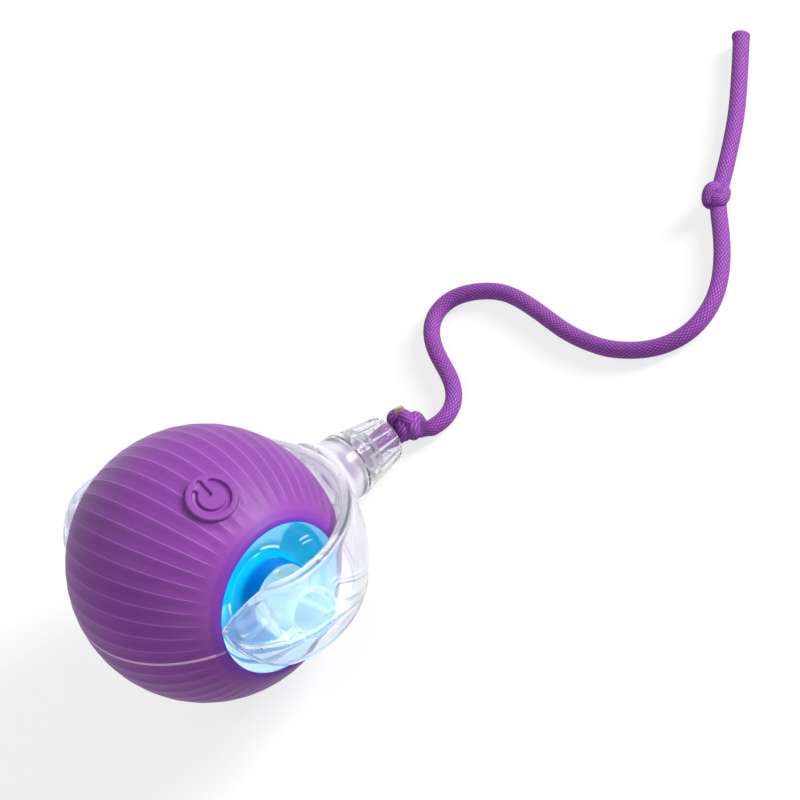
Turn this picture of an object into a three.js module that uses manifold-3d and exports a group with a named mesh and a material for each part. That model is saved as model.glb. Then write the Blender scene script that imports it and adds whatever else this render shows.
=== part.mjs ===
// Self rolling cat ball with a clear two-armed harness and a rope tail.
// Millimetres, +Z up. The ball turns on the harness about the hub axis, which is parallel to Y.
// The inner pieces set the ball's size: cell, chassis, swinging weight, hard shell and silicone sleeve.

import * as THREE from 'three';
import { mergeVertices } from 'three/addons/utils/BufferGeometryUtils.js';
import Module from 'manifold-3d';

const wasm = await Module();
wasm.setup();

// General gaps and cutting allowance
const fitGap = 0.3;
const runningGap = 0.15;
const cutOverrun = 1;

// Rechargeable cell, 300 mAh
const cellWidth = 20;
const cellLength = 20;
const cellThickness = 8;
const cellLift = 0.6;
const cellEdge = 1.2;
const cellRoom = 0.4;

// Chassis, a drum in two halves on the hub axis
const chassisWall = 1.3;
const chassisEndWall = 1;
const bossRadius = 5.5;
const bossRise = 1.3;
const postRadius = 1.4;
const postDrop = 0.9;
const shelfThickness = 0.9;
const flangeRise = 1;
const flangeWidth = 0.8;
const postScrewRadius = 0.6;
const postScrewHead = 1.1;
const postScrewHeadRise = 0.7;
const postScrewLength = 9;

// Swinging weight and its gear drive
const ringTeeth = 36;
const driveTeeth = 17;
const pressureAngle = THREE.MathUtils.degToRad(20);
const gearBacklash = 0.12;
const addendumShare = 0.8;
const toothWidth = 3.3;
const driveFace = 2.8;
const carrierInset = 0.15;
const carrierWall = 1;
const weightThickness = 2.6;
const weightSideRoom = 5.1;
const weightShellGap = 0.4;
const trackGap = 0.3;
const shaftRadius = 0.9;
const shaftTail = 3;
const bearingPostRadius = 2.2;

// Gear motor
const motorWidth = 10;
const motorHeight = 8;
const motorCorner = 3.4;
const gearboxLength = 3.4;
const cradleWidth = 8;

// Circuit boards and small electric parts
const boardThickness = 0.8;
const boardMargin = 0.4;
const boardSideMargin = 1;
const chipSide = 5;
const chipRise = 1;
const ledBoardWidth = 2.5;
const ledSide = 1.4;
const ledRise = 0.8;
const ledCount = 3;

// Hard shell in two halves
const shellWall = 1.5;
const partingGap = 0.3;
const ribWidth = 1.2;
const ribSideRoom = 2.8;
const screwBossRadius = 1.9;
const shellScrewRadius = 0.7;
const shellScrewHead = 1.3;
const shellScrewHeadRise = 1.1;
const shellScrewDepth = 4;
const shellScrewReach = 5;

// Silicone sleeve
const sleeveThickness = 2;
const sleeveFacets = 48;
const equatorBand = 1.26;
const bandShare = 0.24;
const lipWidth = 1.3;
const lipRise = 0.15;
const lipRound = 0.45;

// Hub dishes and clear pivot cups
const cupFlangeWidth = 0.8;
const cupFlange = 0.4;
const cupRadius = 6.1;
const cupRise = 5.5;
const cupFloor = 1.5;
const dishWall = 1.2;
const dishDepth = 4.2;
const dishRimDrop = 0.45;
const dishRimWidth = 0.4;
const dishFlange = 0.8;
const dishFlangeThickness = 0.6;

// Power button, its switch and its small board
const buttonAzimuth = THREE.MathUtils.degToRad(74);
const buttonLipGap = 3.83;
const buttonRadius = 4.4;
const buttonRing = 1.1;
const buttonProud = 0.6;
const buttonRecess = 0.45;
const buttonTravel = 0.4;
const buttonClearance = 0.3;
const plungerRadius = 1.5;
const plungerReach = 1.3;
const switchSide = 4.4;
const switchHeight = 1.5;
const switchKnobRadius = 1;
const switchKnobRise = 0.5;
const switchBoardWidth = 7;
const switchBoardHeight = 5;

// Charging socket and its board
const socketAzimuth = THREE.MathUtils.degToRad(-135);
const socketWidth = 8.94;
const socketHeight = 3.26;
const socketDepth = 6;
const socketWall = 0.35;
const socketSetback = 0.7;
const socketFlangeGap = 0.4;
const tongueWidth = 6.6;
const tongueHeight = 0.7;
const portWidth = 9.8;
const portHeight = 4.1;
const recessWidth = 13;
const recessHeight = 7.4;

// Clear harness: two arms, a bridge and a neck
const armHalfWidth = 8.4;
const armThickness = 1.6;
const armDrop = 2.6;
const bridgeDrop = 1.7;
const bridgeStandOff = 4.3;
const armStandOff = 5.6;
const tipRadius = 8.4;
const tipGap = 1.3;
const tipSink = 1.6;
const tipExponent = 0.6;
const pinRadius = 3;
const pinFlare = 1.5;
const neckRadius = 6;
const neckEnd = 34;
const neckFlare = 1.8;
const neckBore = 4.4;
const spigotRadius = 4.3;
const spigotBore = 3.6;
const spigotLength = 3.5;

// Fluted screw cap
const capLength = 9.7;
const capTipRadius = 4.2;
const capHole = 3.3;
const capHoleLength = 1.4;
const capCavity = 3.9;
const capThreadDepth = 3.8;
const fluteCount = 12;
const fluteDepth = 0.35;
const floorClearance = 0.03;

// Rope tail
const ropeDiameter = 3;
const ropeFloorGap = 0.02;
const strandRadius = 2.9;
const strandWaist = 1.7;
const washerThickness = 0.8;
const stopperRadius = 3.1;
const stopperLength = 5.6;
const neckKnotRadius = 2.9;
const neckKnotOffset = 2.4;
const endKnotRadius = 2.5;
const endKnotFlatShare = 0.95;
const stubRadius = 1.4;
const stubLength = 1.5;
const stubShift = 0.6;

// Sizes that follow from the ones above
const cellTop = cellLift + cellThickness;
const drumInner = Math.hypot(cellWidth / 2, cellTop) + cellRoom;
const chassisInnerEnd = cellLength / 2 + fitGap;
const weightHalfWidth = chassisInnerEnd - weightSideRoom;
const carrierWidth = 2 * (weightHalfWidth - carrierInset);
const ribPlace = weightHalfWidth + ribSideRoom + ribWidth / 2;
const boardBase = cellTop + fitGap;
const boardWidth = 2 * (Math.sqrt(drumInner ** 2 - (boardBase + boardThickness) ** 2) - boardSideMargin);
const postReach = drumInner - postRadius - fitGap;
const ledBoardOuter = postReach - postScrewHead - 2 * fitGap;
const ledBoardInner = ledBoardOuter - ledBoardWidth;
const cupFlangeRadius = cupRadius + cupFlangeWidth;
const trackRadius = drumInner + chassisWall;
const carrierBore = trackRadius + trackGap;
const gearModule = carrierBore / (ringTeeth / 2 + 1);
const ringPitch = gearModule * ringTeeth / 2;
const drivePitch = gearModule * driveTeeth / 2;
const driveOffset = ringPitch - drivePitch;
const toothAddendum = gearModule * addendumShare;
const carrierOuter = carrierBore + carrierWall;
const weightInner = carrierOuter + fitGap;
const weightOuter = weightInner + weightThickness;
const shellInner = Math.hypot(weightOuter, weightHalfWidth) + weightShellGap;
const shellOuter = shellInner + shellWall;
const sleeveInner = shellOuter + fitGap;
const ballRadius = sleeveInner + sleeveThickness;

const chassisOuterEnd = chassisInnerEnd + chassisEndWall;
const bossEnd = chassisOuterEnd + bossRise;
const cupBase = bossEnd + fitGap;
const dishBack = cupBase + cupFlange + fitGap;
const dishFloor = dishBack + dishWall;
const dishRim = dishFloor + dishDepth;
const openingPlane = dishRim + dishRimDrop;
const lipInner = Math.sqrt(ballRadius ** 2 - openingPlane ** 2);
const dishRadius = lipInner - fitGap;
const cupTop = dishFloor + cupRise;
const buttonLatitude = Math.acos((lipInner + lipWidth) / ballRadius)
  - Math.asin((buttonRadius + buttonClearance) / ballRadius) - buttonLipGap / ballRadius;
const ledBoardBase = chassisOuterEnd + fitGap;

const bridgeCrown = ballRadius + bridgeStandOff;
const armCrown = ballRadius + armStandOff;
const tipReach = dishRadius - tipGap;
const tipHeight = openingPlane - tipSink;
const capBase = neckEnd + fitGap;
const capTip = capBase + capLength;
const capReach = Math.hypot(capTip, capTipRadius);
const neckTilt = Math.asin((ballRadius - floorClearance) / capReach) - Math.atan2(capTipRadius, capTip);

// The socket's board lies just inside the flange of the hub dish
const flangeReach = dishRadius + dishFlange;
const flangeTop = Math.sqrt(shellInner ** 2 - flangeReach ** 2) - fitGap;
const flangeBase = flangeTop - dishFlangeThickness;
const socketUpper = socketHeight / 2 + fitGap + boardThickness + socketFlangeGap;
const socketLatitude = Math.acos(socketUpper / Math.hypot(flangeReach, flangeBase))
  - Math.atan2(flangeReach, flangeBase);

// Chassis stations along the hub axis
const splitPlane = -chassisInnerEnd / 3;
const toothStart = -carrierWidth / 2 + fitGap / 2;
const toothEnd = toothStart + toothWidth;
const trackStart = toothEnd + fitGap;
const flangeStart = weightHalfWidth + fitGap;

function signedVolume(geometry) {
  const place = geometry.attributes.position;
  const index = geometry.index;
  const a = new THREE.Vector3();
  const b = new THREE.Vector3();
  const c = new THREE.Vector3();
  let volume = 0;
  for (let i = 0; i < index.count; i += 3) {
    a.fromBufferAttribute(place, index.getX(i));
    b.fromBufferAttribute(place, index.getX(i + 1));
    c.fromBufferAttribute(place, index.getX(i + 2));
    volume += a.dot(b.cross(c)) / 6;
  }
  return volume;
}

// A closed geometry with merged vertices and its faces turned outwards
function closed(geometry) {
  const bare = geometry.index ? geometry.toNonIndexed() : geometry.clone();
  bare.deleteAttribute('normal');
  bare.deleteAttribute('uv');
  const merged = mergeVertices(bare);
  const kept = [];
  const index = merged.index;
  for (let i = 0; i < index.count; i += 3) {
    const [a, b, c] = [index.getX(i), index.getX(i + 1), index.getX(i + 2)];
    if (a !== b && b !== c && c !== a) kept.push(a, b, c);
  }
  merged.setIndex(kept);
  if (signedVolume(merged) < 0) {
    for (let i = 0; i < kept.length; i += 3) {
      [kept[i + 1], kept[i + 2]] = [kept[i + 2], kept[i + 1]];
    }
    merged.setIndex(kept);
  }
  return merged;
}

function solid(geometry) {
  const shape = closed(geometry);
  const vertProperties = new Float32Array(shape.attributes.position.array);
  const triVerts = new Uint32Array(shape.index.array);
  return new wasm.Manifold(new wasm.Mesh({ numProp: 3, vertProperties, triVerts }));
}

function geometryOf(manifold) {
  const mesh = manifold.getMesh();
  const geometry = new THREE.BufferGeometry();
  geometry.setAttribute('position', new THREE.BufferAttribute(new Float32Array(mesh.vertProperties), 3));
  geometry.setIndex(new THREE.BufferAttribute(new Uint32Array(mesh.triVerts), 1));
  return geometry;
}

function join(first, ...others) {
  return others.reduce((sum, other) => sum.add(solid(other)), solid(first));
}

function cut(body, ...tools) {
  return tools.reduce((rest, tool) => rest.subtract(solid(tool)), body);
}

// A section given as [radius, height] pairs, turned about the Y axis
function turned(section, segments, phase = 0) {
  const points = section.map(([radius, height]) => new THREE.Vector2(radius, height));
  const first = points[0];
  const last = points[points.length - 1];
  if (first.x > 0 || last.x > 0) points.push(first.clone());
  return closed(new THREE.LatheGeometry(points, segments, phase));
}

// The same section turned about the X axis
function turnedAlongX(section, segments) {
  return turned(section, segments).rotateZ(-Math.PI / 2);
}

// An outline in the XZ plane, given thickness from yLow to yHigh
function plateY(shape, yLow, yHigh) {
  const geometry = new THREE.ExtrudeGeometry(shape, { depth: yHigh - yLow, bevelEnabled: false });
  return geometry.rotateX(Math.PI / 2).translate(0, yHigh, 0);
}

// An outline in the XY plane, given thickness from zLow to zHigh
function plateZ(shape, zLow, zHigh) {
  const geometry = new THREE.ExtrudeGeometry(shape, { depth: zHigh - zLow, bevelEnabled: false });
  return geometry.translate(0, 0, zLow);
}

// An outline in the ZY plane, given thickness from xLow to xHigh
function plateX(shape, xLow, xHigh) {
  const geometry = new THREE.ExtrudeGeometry(shape, { depth: xHigh - xLow, bevelEnabled: false });
  return geometry.rotateY(Math.PI / 2).translate(xLow, 0, 0);
}

function roundedOutline(width, height, corner, steps = 3) {
  const shape = new THREE.Shape();
  const centres = [
    [width / 2 - corner, height / 2 - corner],
    [corner - width / 2, height / 2 - corner],
    [corner - width / 2, corner - height / 2],
    [width / 2 - corner, corner - height / 2],
  ];
  centres.forEach(([x, y], quarter) => {
    for (let i = 0; i <= steps; i += 1) {
      const angle = (quarter + i / steps) * Math.PI / 2;
      const point = [x + corner * Math.cos(angle), y + corner * Math.sin(angle)];
      if (quarter === 0 && i === 0) shape.moveTo(...point);
      else shape.lineTo(...point);
    }
  });
  shape.closePath();
  return shape;
}

function box(xLow, xHigh, yLow, yHigh, zLow, zHigh) {
  const geometry = new THREE.BoxGeometry(xHigh - xLow, yHigh - yLow, zHigh - zLow);
  return geometry.translate((xLow + xHigh) / 2, (yLow + yHigh) / 2, (zLow + zHigh) / 2);
}

function rodY(radius, yLow, yHigh, x = 0, z = 0, sides = 16) {
  const geometry = new THREE.CylinderGeometry(radius, radius, yHigh - yLow, sides);
  return geometry.translate(x, (yLow + yHigh) / 2, z);
}

function rodZ(radius, zLow, zHigh, x = 0, y = 0, sides = 16) {
  const geometry = new THREE.CylinderGeometry(radius, radius, zHigh - zLow, sides);
  return geometry.rotateX(Math.PI / 2).translate(x, y, (zLow + zHigh) / 2);
}

// Points of a sphere's meridian from one height to another, ends included
function meridian(radius, fromHeight, toHeight, steps) {
  const from = Math.asin(fromHeight / radius);
  const to = Math.asin(toHeight / radius);
  return Array.from({ length: steps + 1 }, (_, i) => {
    const latitude = from + (to - from) * i / steps;
    return [radius * Math.cos(latitude), radius * Math.sin(latitude)];
  });
}

function mirrored(section) {
  return section.map(([radius, height]) => [radius, -height]).reverse();
}

const heightOnSphere = (sphereRadius, radius) => Math.sqrt(sphereRadius ** 2 - radius ** 2);

// Turns a shape built along +Z to the button's place, and one built along +X to the socket's
const toButton = (geometry) => geometry.rotateX(buttonLatitude);
const toSocket = (geometry) => geometry.rotateZ(socketLatitude).rotateY(-socketAzimuth);

// Silicone sleeve: outer band with facets where the ribs run, a rolled lip at each hub opening
function silicone_sleeve() {
  const crest = ballRadius / Math.cos(Math.PI / sleeveFacets);
  const innerEnd = heightOnSphere(sleeveInner, lipInner + fitGap);
  const lipStart = heightOnSphere(crest, lipInner + lipWidth);
  const outer = [
    [crest, equatorBand],
    ...meridian(crest, ballRadius * bandShare, lipStart, 4),
    [lipInner + lipWidth / 2, (lipStart + openingPlane) / 2 + lipRise],
    [lipInner + lipRound / 2, openingPlane + lipRise / 2],
    [lipInner, openingPlane - lipRound],
    [lipInner, innerEnd],
  ];
  const inner = meridian(sleeveInner, -innerEnd, innerEnd, 8).reverse();
  const facet = 2 * Math.PI / sleeveFacets;
  const phase = facet / 2 + (buttonAzimuth - Math.PI / 2) % facet;
  const ring = solid(turned([...mirrored(outer), ...outer, ...inner], sleeveFacets, phase));
  const buttonHole = toButton(rodZ(buttonRadius + buttonClearance, shellInner, ballRadius + cutOverrun, 0, 0, 24));
  const recess = roundedOutline(recessWidth, recessHeight, recessHeight / 2, 4);
  const portRecess = toSocket(plateX(recess, shellInner, ballRadius + cutOverrun));
  return cut(ring, buttonHole, portRecess);
}

// Both halves of the hard shell before they are parted, with ribs and screw bosses inside
function whole_shell() {
  const outerEnd = heightOnSphere(shellOuter, lipInner);
  const innerEnd = heightOnSphere(shellInner, lipInner);
  const wall = [
    ...meridian(shellOuter, -outerEnd, outerEnd, 9),
    ...meridian(shellInner, -innerEnd, innerEnd, 8).reverse(),
  ];
  const insideWall = solid(turned([[0, -shellInner], ...meridian(shellInner + shellWall / 2,
    -outerEnd, outerEnd, 8), [0, shellInner]], 36));
  const holders = [-1, 1].map((side) => {
    const low = side * ribPlace - ribWidth / 2;
    const high = side * ribPlace + ribWidth / 2;
    const clear = trackRadius + fitGap;
    return turned([[clear, low], [shellOuter, low], [shellOuter, high], [clear, high]], 36);
  });
  const bosses = screwPlaces().map(([x, y]) => rodZ(screwBossRadius, -shellOuter, shellOuter, x, y, 12));
  const inside = join(...holders, ...bosses).intersect(insideWall);
  const drum = turned([[0, -openingPlane], [trackRadius + fitGap, -openingPlane],
    [trackRadius + fitGap, openingPlane], [0, openingPlane]], 36);
  return solid(turned(wall, 36)).add(cut(inside, drum));
}

function screwPlaces() {
  const x = trackRadius + fitGap + screwBossRadius - fitGap / 2;
  return [[x, ribPlace], [-x, ribPlace], [-x, -ribPlace], [x, -ribPlace]];
}

function partedShell(side) {
  const low = side > 0 ? partingGap / 2 : -ballRadius;
  const high = side > 0 ? ballRadius : -partingGap / 2;
  const half = solid(box(-ballRadius, ballRadius, -ballRadius, ballRadius, low, high));
  return whole_shell().intersect(half);
}

function upper_shell() {
  const pilots = screwPlaces().map(([x, y]) => rodZ(shellScrewRadius + runningGap,
    -cutOverrun, shellScrewReach + cutOverrun, x, y, 12));
  const plungerHole = toButton(rodZ(plungerRadius + buttonClearance, shellInner - cutOverrun,
    shellOuter + cutOverrun));
  const pocketWidth = switchBoardWidth / 2 + fitGap;
  const pocket = toButton(box(-pocketWidth, pocketWidth, -switchBoardWidth / 2, switchBoardWidth / 2,
    trackRadius, switchTop() + fitGap));
  return cut(partedShell(1), ...pilots, plungerHole, pocket);
}

function lower_shell() {
  const headSeat = -shellScrewDepth;
  const bores = screwPlaces().flatMap(([x, y]) => [
    rodZ(shellScrewRadius + runningGap, -ballRadius, cutOverrun, x, y, 12),
    rodZ(shellScrewHead + runningGap, -ballRadius, headSeat, x, y, 12),
  ]);
  const port = roundedOutline(portWidth, portHeight, portHeight / 2, 4);
  const window = toSocket(plateX(port, shellInner - cutOverrun, ballRadius));
  const halfWidth = socketWidth / 2 + 2 * fitGap;
  const pocket = toSocket(box(shellInner - socketDepth, shellOuter - socketSetback + fitGap,
    -socketHeight / 2 - fitGap, socketHeight / 2 + boardThickness + 2 * fitGap, -halfWidth, halfWidth));
  return cut(partedShell(-1), ...bores, window, pocket);
}

function shell_screw([x, y]) {
  const seat = -shellScrewDepth - fitGap;
  const head = rodZ(shellScrewHead, seat - shellScrewHeadRise, seat, x, y, 12);
  const shank = rodZ(shellScrewRadius, seat - shellScrewHeadRise / 2, shellScrewReach, x, y, 10);
  return join(head, shank);
}

// Hub dish: concave translucent ring behind each opening, held from inside by its flange
function hub_dish(side) {
  const middle = (dishRadius - dishRimWidth + cupRadius) / 2;
  const span = dishRadius - dishRimWidth - middle;
  const steps = 7;
  const hollow = Array.from({ length: steps + 1 }, (_, i) => {
    const angle = Math.PI / 2 * i / steps;
    return [middle + span * Math.cos(angle), dishRim - dishDepth * Math.sin(angle)];
  });
  const section = [
    [cupRadius + fitGap, dishBack],
    [middle + span / 3, dishBack],
    [dishRadius - dishWall, dishBack + dishWall],
    [dishRadius - dishWall, flangeBase],
    [flangeReach, flangeBase],
    [flangeReach, flangeTop],
    [dishRadius, flangeTop],
    [dishRadius, dishRim],
    ...hollow,
    [cupRadius + fitGap, dishFloor],
  ];
  return solid(turned(section.map(([radius, height]) => [radius, side * height]), 30));
}

// Clear cup in the middle of the dish that carries the harness pin
function pivot_cup(side) {
  const bore = pinRadius + 2 * runningGap;
  const section = [
    [0, cupBase],
    [cupFlangeRadius, cupBase],
    [cupFlangeRadius, cupBase + cupFlange],
    [cupRadius, cupBase + cupFlange],
    [cupRadius, cupTop - fitGap],
    [cupRadius - fitGap, cupTop],
    [bore, cupTop],
    [bore, cupBase + cupFloor],
    [0, cupBase + cupFloor],
  ];
  return solid(turned(section.map(([radius, height]) => [radius, side * height]), 20));
}

function led_board(side) {
  const section = [
    [ledBoardInner, ledBoardBase],
    [ledBoardOuter, ledBoardBase],
    [ledBoardOuter, ledBoardBase + boardThickness],
    [ledBoardInner, ledBoardBase + boardThickness],
  ];
  return solid(turned(section.map(([radius, height]) => [radius, side * height]), 20));
}

function led(side, number) {
  const radius = (ledBoardInner + ledBoardOuter) / 2;
  const angle = (number + 0.5) * 2 * Math.PI / ledCount;
  const low = ledBoardBase + boardThickness + fitGap / 3;
  const high = low + ledRise;
  const [yLow, yHigh] = side > 0 ? [low, high] : [-high, -low];
  return solid(box(-ledSide / 2, ledSide / 2, yLow, yHigh, -ledSide / 2, ledSide / 2)
    .translate(radius * Math.cos(angle), 0, radius * Math.sin(angle)));
}

const postPlaces = () => [-1, 1].map((side) => [side * postReach, -postDrop]);

function shelf(yLow, yHigh) {
  const half = drumInner + chassisWall / 2;
  return box(-half, half, yLow, yHigh, cellLift - fitGap - shelfThickness, cellLift - fitGap);
}

// Room for the switch board and the charging board where they reach into the drum wall
function chassisPockets() {
  const halfBoard = switchBoardWidth / 2 + fitGap;
  const button = toButton(box(-halfBoard, halfBoard, -switchBoardHeight / 2 - fitGap,
    switchBoardHeight / 2 + fitGap, switchBoardBase() - fitGap, ballRadius));
  const halfSocket = socketWidth / 2 + 2 * fitGap;
  const socket = toSocket(box(socketFace() - socketDepth - fitGap, ballRadius, -socketHeight / 2 - fitGap,
    socketHeight / 2 + boardThickness + 3 * fitGap, -halfSocket, halfSocket));
  return [button, socket];
}

// Right half: the track that the weight runs on, the motor cradle and the cell shelf
function chassis_right() {
  const drum = turned([
    [0, chassisInnerEnd],
    [drumInner, chassisInnerEnd],
    [drumInner, trackStart],
    [trackRadius, trackStart],
    [trackRadius, flangeStart],
    [trackRadius + flangeRise, flangeStart],
    [trackRadius + flangeRise, flangeStart + flangeWidth],
    [trackRadius, flangeStart + flangeWidth],
    [trackRadius, chassisOuterEnd],
    [bossRadius, chassisOuterEnd],
    [bossRadius, bossEnd],
    [0, bossEnd],
  ], 36);
  const posts = postPlaces().map(([x, z]) => rodY(postRadius, splitPlane + fitGap / 2,
    chassisInnerEnd + chassisEndWall / 2, x, z, 12));
  const cradleTop = -driveOffset - motorHeight / 2 - fitGap;
  const cradle = box(-cradleWidth / 2, cradleWidth / 2, trackStart, chassisInnerEnd + chassisEndWall / 2,
    -drumInner - chassisWall / 2, cradleTop);
  const whole = join(drum, ...posts, shelf(trackStart, chassisInnerEnd + chassisEndWall / 2), cradle);
  const pilots = postPlaces().map(([x, z]) => rodY(postScrewRadius + runningGap, splitPlane - cutOverrun,
    splitPlane + postScrewLength, x, z, 10));
  return cut(whole, ...pilots, ...chassisPockets());
}

// Left half: keeps the weight on its track and carries the far end of the drive shaft
function chassis_left() {
  const drumStart = -flangeStart;
  const drum = turned([
    [0, -bossEnd],
    [bossRadius, -bossEnd],
    [bossRadius, -chassisOuterEnd],
    [trackRadius, -chassisOuterEnd],
    [trackRadius, drumStart - flangeWidth],
    [trackRadius + flangeRise, drumStart - flangeWidth],
    [trackRadius + flangeRise, drumStart],
    [drumInner, drumStart],
    [drumInner, -chassisInnerEnd],
    [0, -chassisInnerEnd],
  ], 36);
  const wallMiddle = -chassisInnerEnd - chassisEndWall / 2;
  const posts = postPlaces().map(([x, z]) => rodY(postRadius, wallMiddle, splitPlane - fitGap / 2, x, z, 12));
  const bearing = rodY(bearingPostRadius, wallMiddle, toothStart - fitGap, 0, -driveOffset, 14);
  const whole = join(drum, ...posts, bearing, shelf(wallMiddle, drumStart));
  const bores = postPlaces().map(([x, z]) => rodY(postScrewRadius + runningGap, -chassisOuterEnd - cutOverrun,
    splitPlane + cutOverrun, x, z, 10));
  const shaftBore = rodY(shaftRadius + runningGap, toothStart - shaftTail - fitGap,
    toothStart + cutOverrun, 0, -driveOffset, 14);
  return cut(whole, ...bores, shaftBore, ...chassisPockets());
}

function chassis_screw([x, z]) {
  const seat = -chassisOuterEnd - fitGap;
  const head = rodY(postScrewHead, seat - postScrewHeadRise, seat, x, z, 12);
  const shank = rodY(postScrewRadius, seat - postScrewHeadRise / 2, splitPlane + postScrewLength - fitGap,
    x, z, 10);
  return join(head, shank);
}

function battery_cell() {
  const outline = roundedOutline(cellWidth, cellThickness, cellEdge, 2);
  return solid(plateY(outline, -cellLength / 2, cellLength / 2).translate(0, 0, cellLift + cellThickness / 2));
}

function circuit_board() {
  const base = boardBase;
  const top = base + boardThickness;
  const halfLength = cellLength / 2 - boardMargin;
  const plate = box(-boardWidth / 2, boardWidth / 2, -halfLength, halfLength, base, top);
  const chips = [-1, 1].map((side) => box(-chipSide / 2, chipSide / 2, side * halfLength / 2 - chipSide / 2,
    side * halfLength / 2 + chipSide / 2, base, top + chipRise));
  return join(plate, ...chips);
}

function motorPiece(yLow, yHigh) {
  const outline = roundedOutline(motorWidth, motorHeight, motorCorner, 3);
  return plateY(outline, yLow, yHigh).translate(0, 0, -driveOffset);
}

const gearboxStart = () => trackStart + fitGap;

function gearbox() {
  const body = solid(motorPiece(gearboxStart(), gearboxStart() + gearboxLength));
  const bore = rodY(shaftRadius + runningGap, gearboxStart() - cutOverrun,
    gearboxStart() + gearboxLength * 2 / 3, 0, -driveOffset, 14);
  return cut(body, bore);
}

function motor() {
  return solid(motorPiece(gearboxStart() + gearboxLength + fitGap, chassisInnerEnd - fitGap));
}

function drive_shaft() {
  return solid(rodY(shaftRadius, toothStart - shaftTail, gearboxStart() + gearboxLength / 2,
    0, -driveOffset, 14));
}

const involute = (angle) => Math.tan(angle) - angle;

// Half the angle that a tooth takes up at a radius, for an involute flank
function halfToothAngle(teeth, radius, thinning) {
  const pitch = gearModule * teeth / 2;
  const base = pitch * Math.cos(pressureAngle);
  const half = (Math.PI * gearModule / 2 - thinning) / (2 * pitch);
  const roll = Math.acos(Math.min(1, base / radius));
  return half + involute(pressureAngle) - involute(roll);
}

// Tooth corners all round: out along one flank of each tooth and back along the other
function toothedOutline(teeth, radii, thinning) {
  const points = [];
  for (let tooth = 0; tooth < teeth; tooth += 1) {
    const centre = -Math.PI / 2 + tooth * 2 * Math.PI / teeth;
    radii.forEach((radius) => {
      const angle = centre - halfToothAngle(teeth, radius, thinning);
      points.push(new THREE.Vector2(radius * Math.cos(angle), radius * Math.sin(angle)));
    });
    [...radii].reverse().forEach((radius) => {
      const angle = centre + halfToothAngle(teeth, radius, thinning);
      points.push(new THREE.Vector2(radius * Math.cos(angle), radius * Math.sin(angle)));
    });
  }
  return points;
}

function drive_gear() {
  const radii = [drivePitch - gearModule, drivePitch, drivePitch + toothAddendum];
  const outline = new THREE.Shape(toothedOutline(driveTeeth, radii, gearBacklash));
  const middle = (toothStart + toothEnd) / 2;
  const disc = solid(plateY(outline, middle - driveFace / 2, middle + driveFace / 2));
  const bore = rodY(shaftRadius + fitGap / 2, toothStart - cutOverrun, toothEnd + cutOverrun, 0, 0, 14);
  return geometryOf(cut(disc, bore)).translate(0, 0, -driveOffset);
}

// Carrier ring: inner teeth at one side, a plain running bore at the other
function weight_carrier() {
  const radii = [ringPitch - toothAddendum, ringPitch, ringPitch + gearModule];
  const spaces = toothedOutline(ringTeeth, radii, -gearBacklash);
  const outerRing = rodY(carrierOuter, toothStart, toothStart + carrierWidth - fitGap, 0, 0, 36);
  const toothSpaces = plateY(new THREE.Shape(spaces), toothStart - cutOverrun, toothEnd + cutOverrun);
  const track = rodY(carrierBore, toothEnd, weightHalfWidth + cutOverrun, 0, 0, 36);
  return cut(solid(outerRing), toothSpaces, track);
}

// Steel weight: a half ring that hangs below the hub axis
function counterweight() {
  const steps = 14;
  const outer = [];
  const inner = [];
  for (let i = 0; i <= steps; i += 1) {
    const angle = -Math.PI + Math.PI * i / steps;
    const direction = new THREE.Vector2(Math.cos(angle), Math.sin(angle));
    outer.push(direction.clone().multiplyScalar(weightOuter));
    inner.unshift(direction.multiplyScalar(weightInner / Math.cos(Math.PI / steps / 2)));
  }
  return solid(plateY(new THREE.Shape([...outer, ...inner]), -weightHalfWidth, weightHalfWidth));
}

// Button stack heights along the button's own axis, from the ball's centre
const buttonTop = () => ballRadius + buttonProud;
const buttonBase = () => shellOuter + buttonTravel + fitGap;
const plungerEnd = () => shellInner + fitGap / 2;
const switchTop = () => plungerEnd() - buttonTravel - fitGap / 3 - switchKnobRise;
const switchBoardBase = () => switchTop() - switchHeight - fitGap - boardThickness;

function power_button() {
  const rimTop = buttonTop();
  const floorTop = rimTop - buttonRecess;
  const edge = buttonRing / 4;
  const section = [
    [0, plungerEnd()],
    [plungerRadius, plungerEnd()],
    [plungerRadius, buttonBase()],
    [buttonRadius, buttonBase()],
    [buttonRadius, rimTop - edge],
    [buttonRadius - edge, rimTop],
    [buttonRadius - buttonRing, rimTop],
    [buttonRadius - buttonRing - edge, floorTop],
    [0, floorTop],
  ];
  return solid(turned(section, 24).rotateX(Math.PI / 2));
}

function tact_switch() {
  const half = switchSide / 2;
  const body = box(-half, half, -half, half, switchTop() - switchHeight, switchTop());
  return join(body, rodZ(switchKnobRadius, switchTop() - switchHeight / 2, switchTop() + switchKnobRise));
}

function switch_board() {
  return solid(box(-switchBoardWidth / 2, switchBoardWidth / 2, -switchBoardHeight / 2, switchBoardHeight / 2,
    switchBoardBase(), switchBoardBase() + boardThickness));
}

const socketFace = () => shellOuter - socketSetback;

function charge_socket() {
  const face = socketFace();
  const back = face - socketDepth;
  const body = solid(plateX(roundedOutline(socketWidth, socketHeight, socketHeight / 2, 4), back, face));
  const bore = plateX(roundedOutline(socketWidth - 2 * socketWall, socketHeight - 2 * socketWall,
    socketHeight / 2 - socketWall, 4), back + 2 * socketWall, face + cutOverrun);
  const tongue = box(back + socketWall, face - 2 * socketWall, -tongueHeight / 2, tongueHeight / 2,
    -tongueWidth / 2, tongueWidth / 2);
  return cut(body, bore).add(solid(tongue));
}

function charge_board() {
  const base = socketHeight / 2 + fitGap;
  return solid(box(socketFace() - socketDepth, socketFace() - 3 * socketWall, base, base + boardThickness,
    -socketWidth / 2, socketWidth / 2));
}

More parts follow.
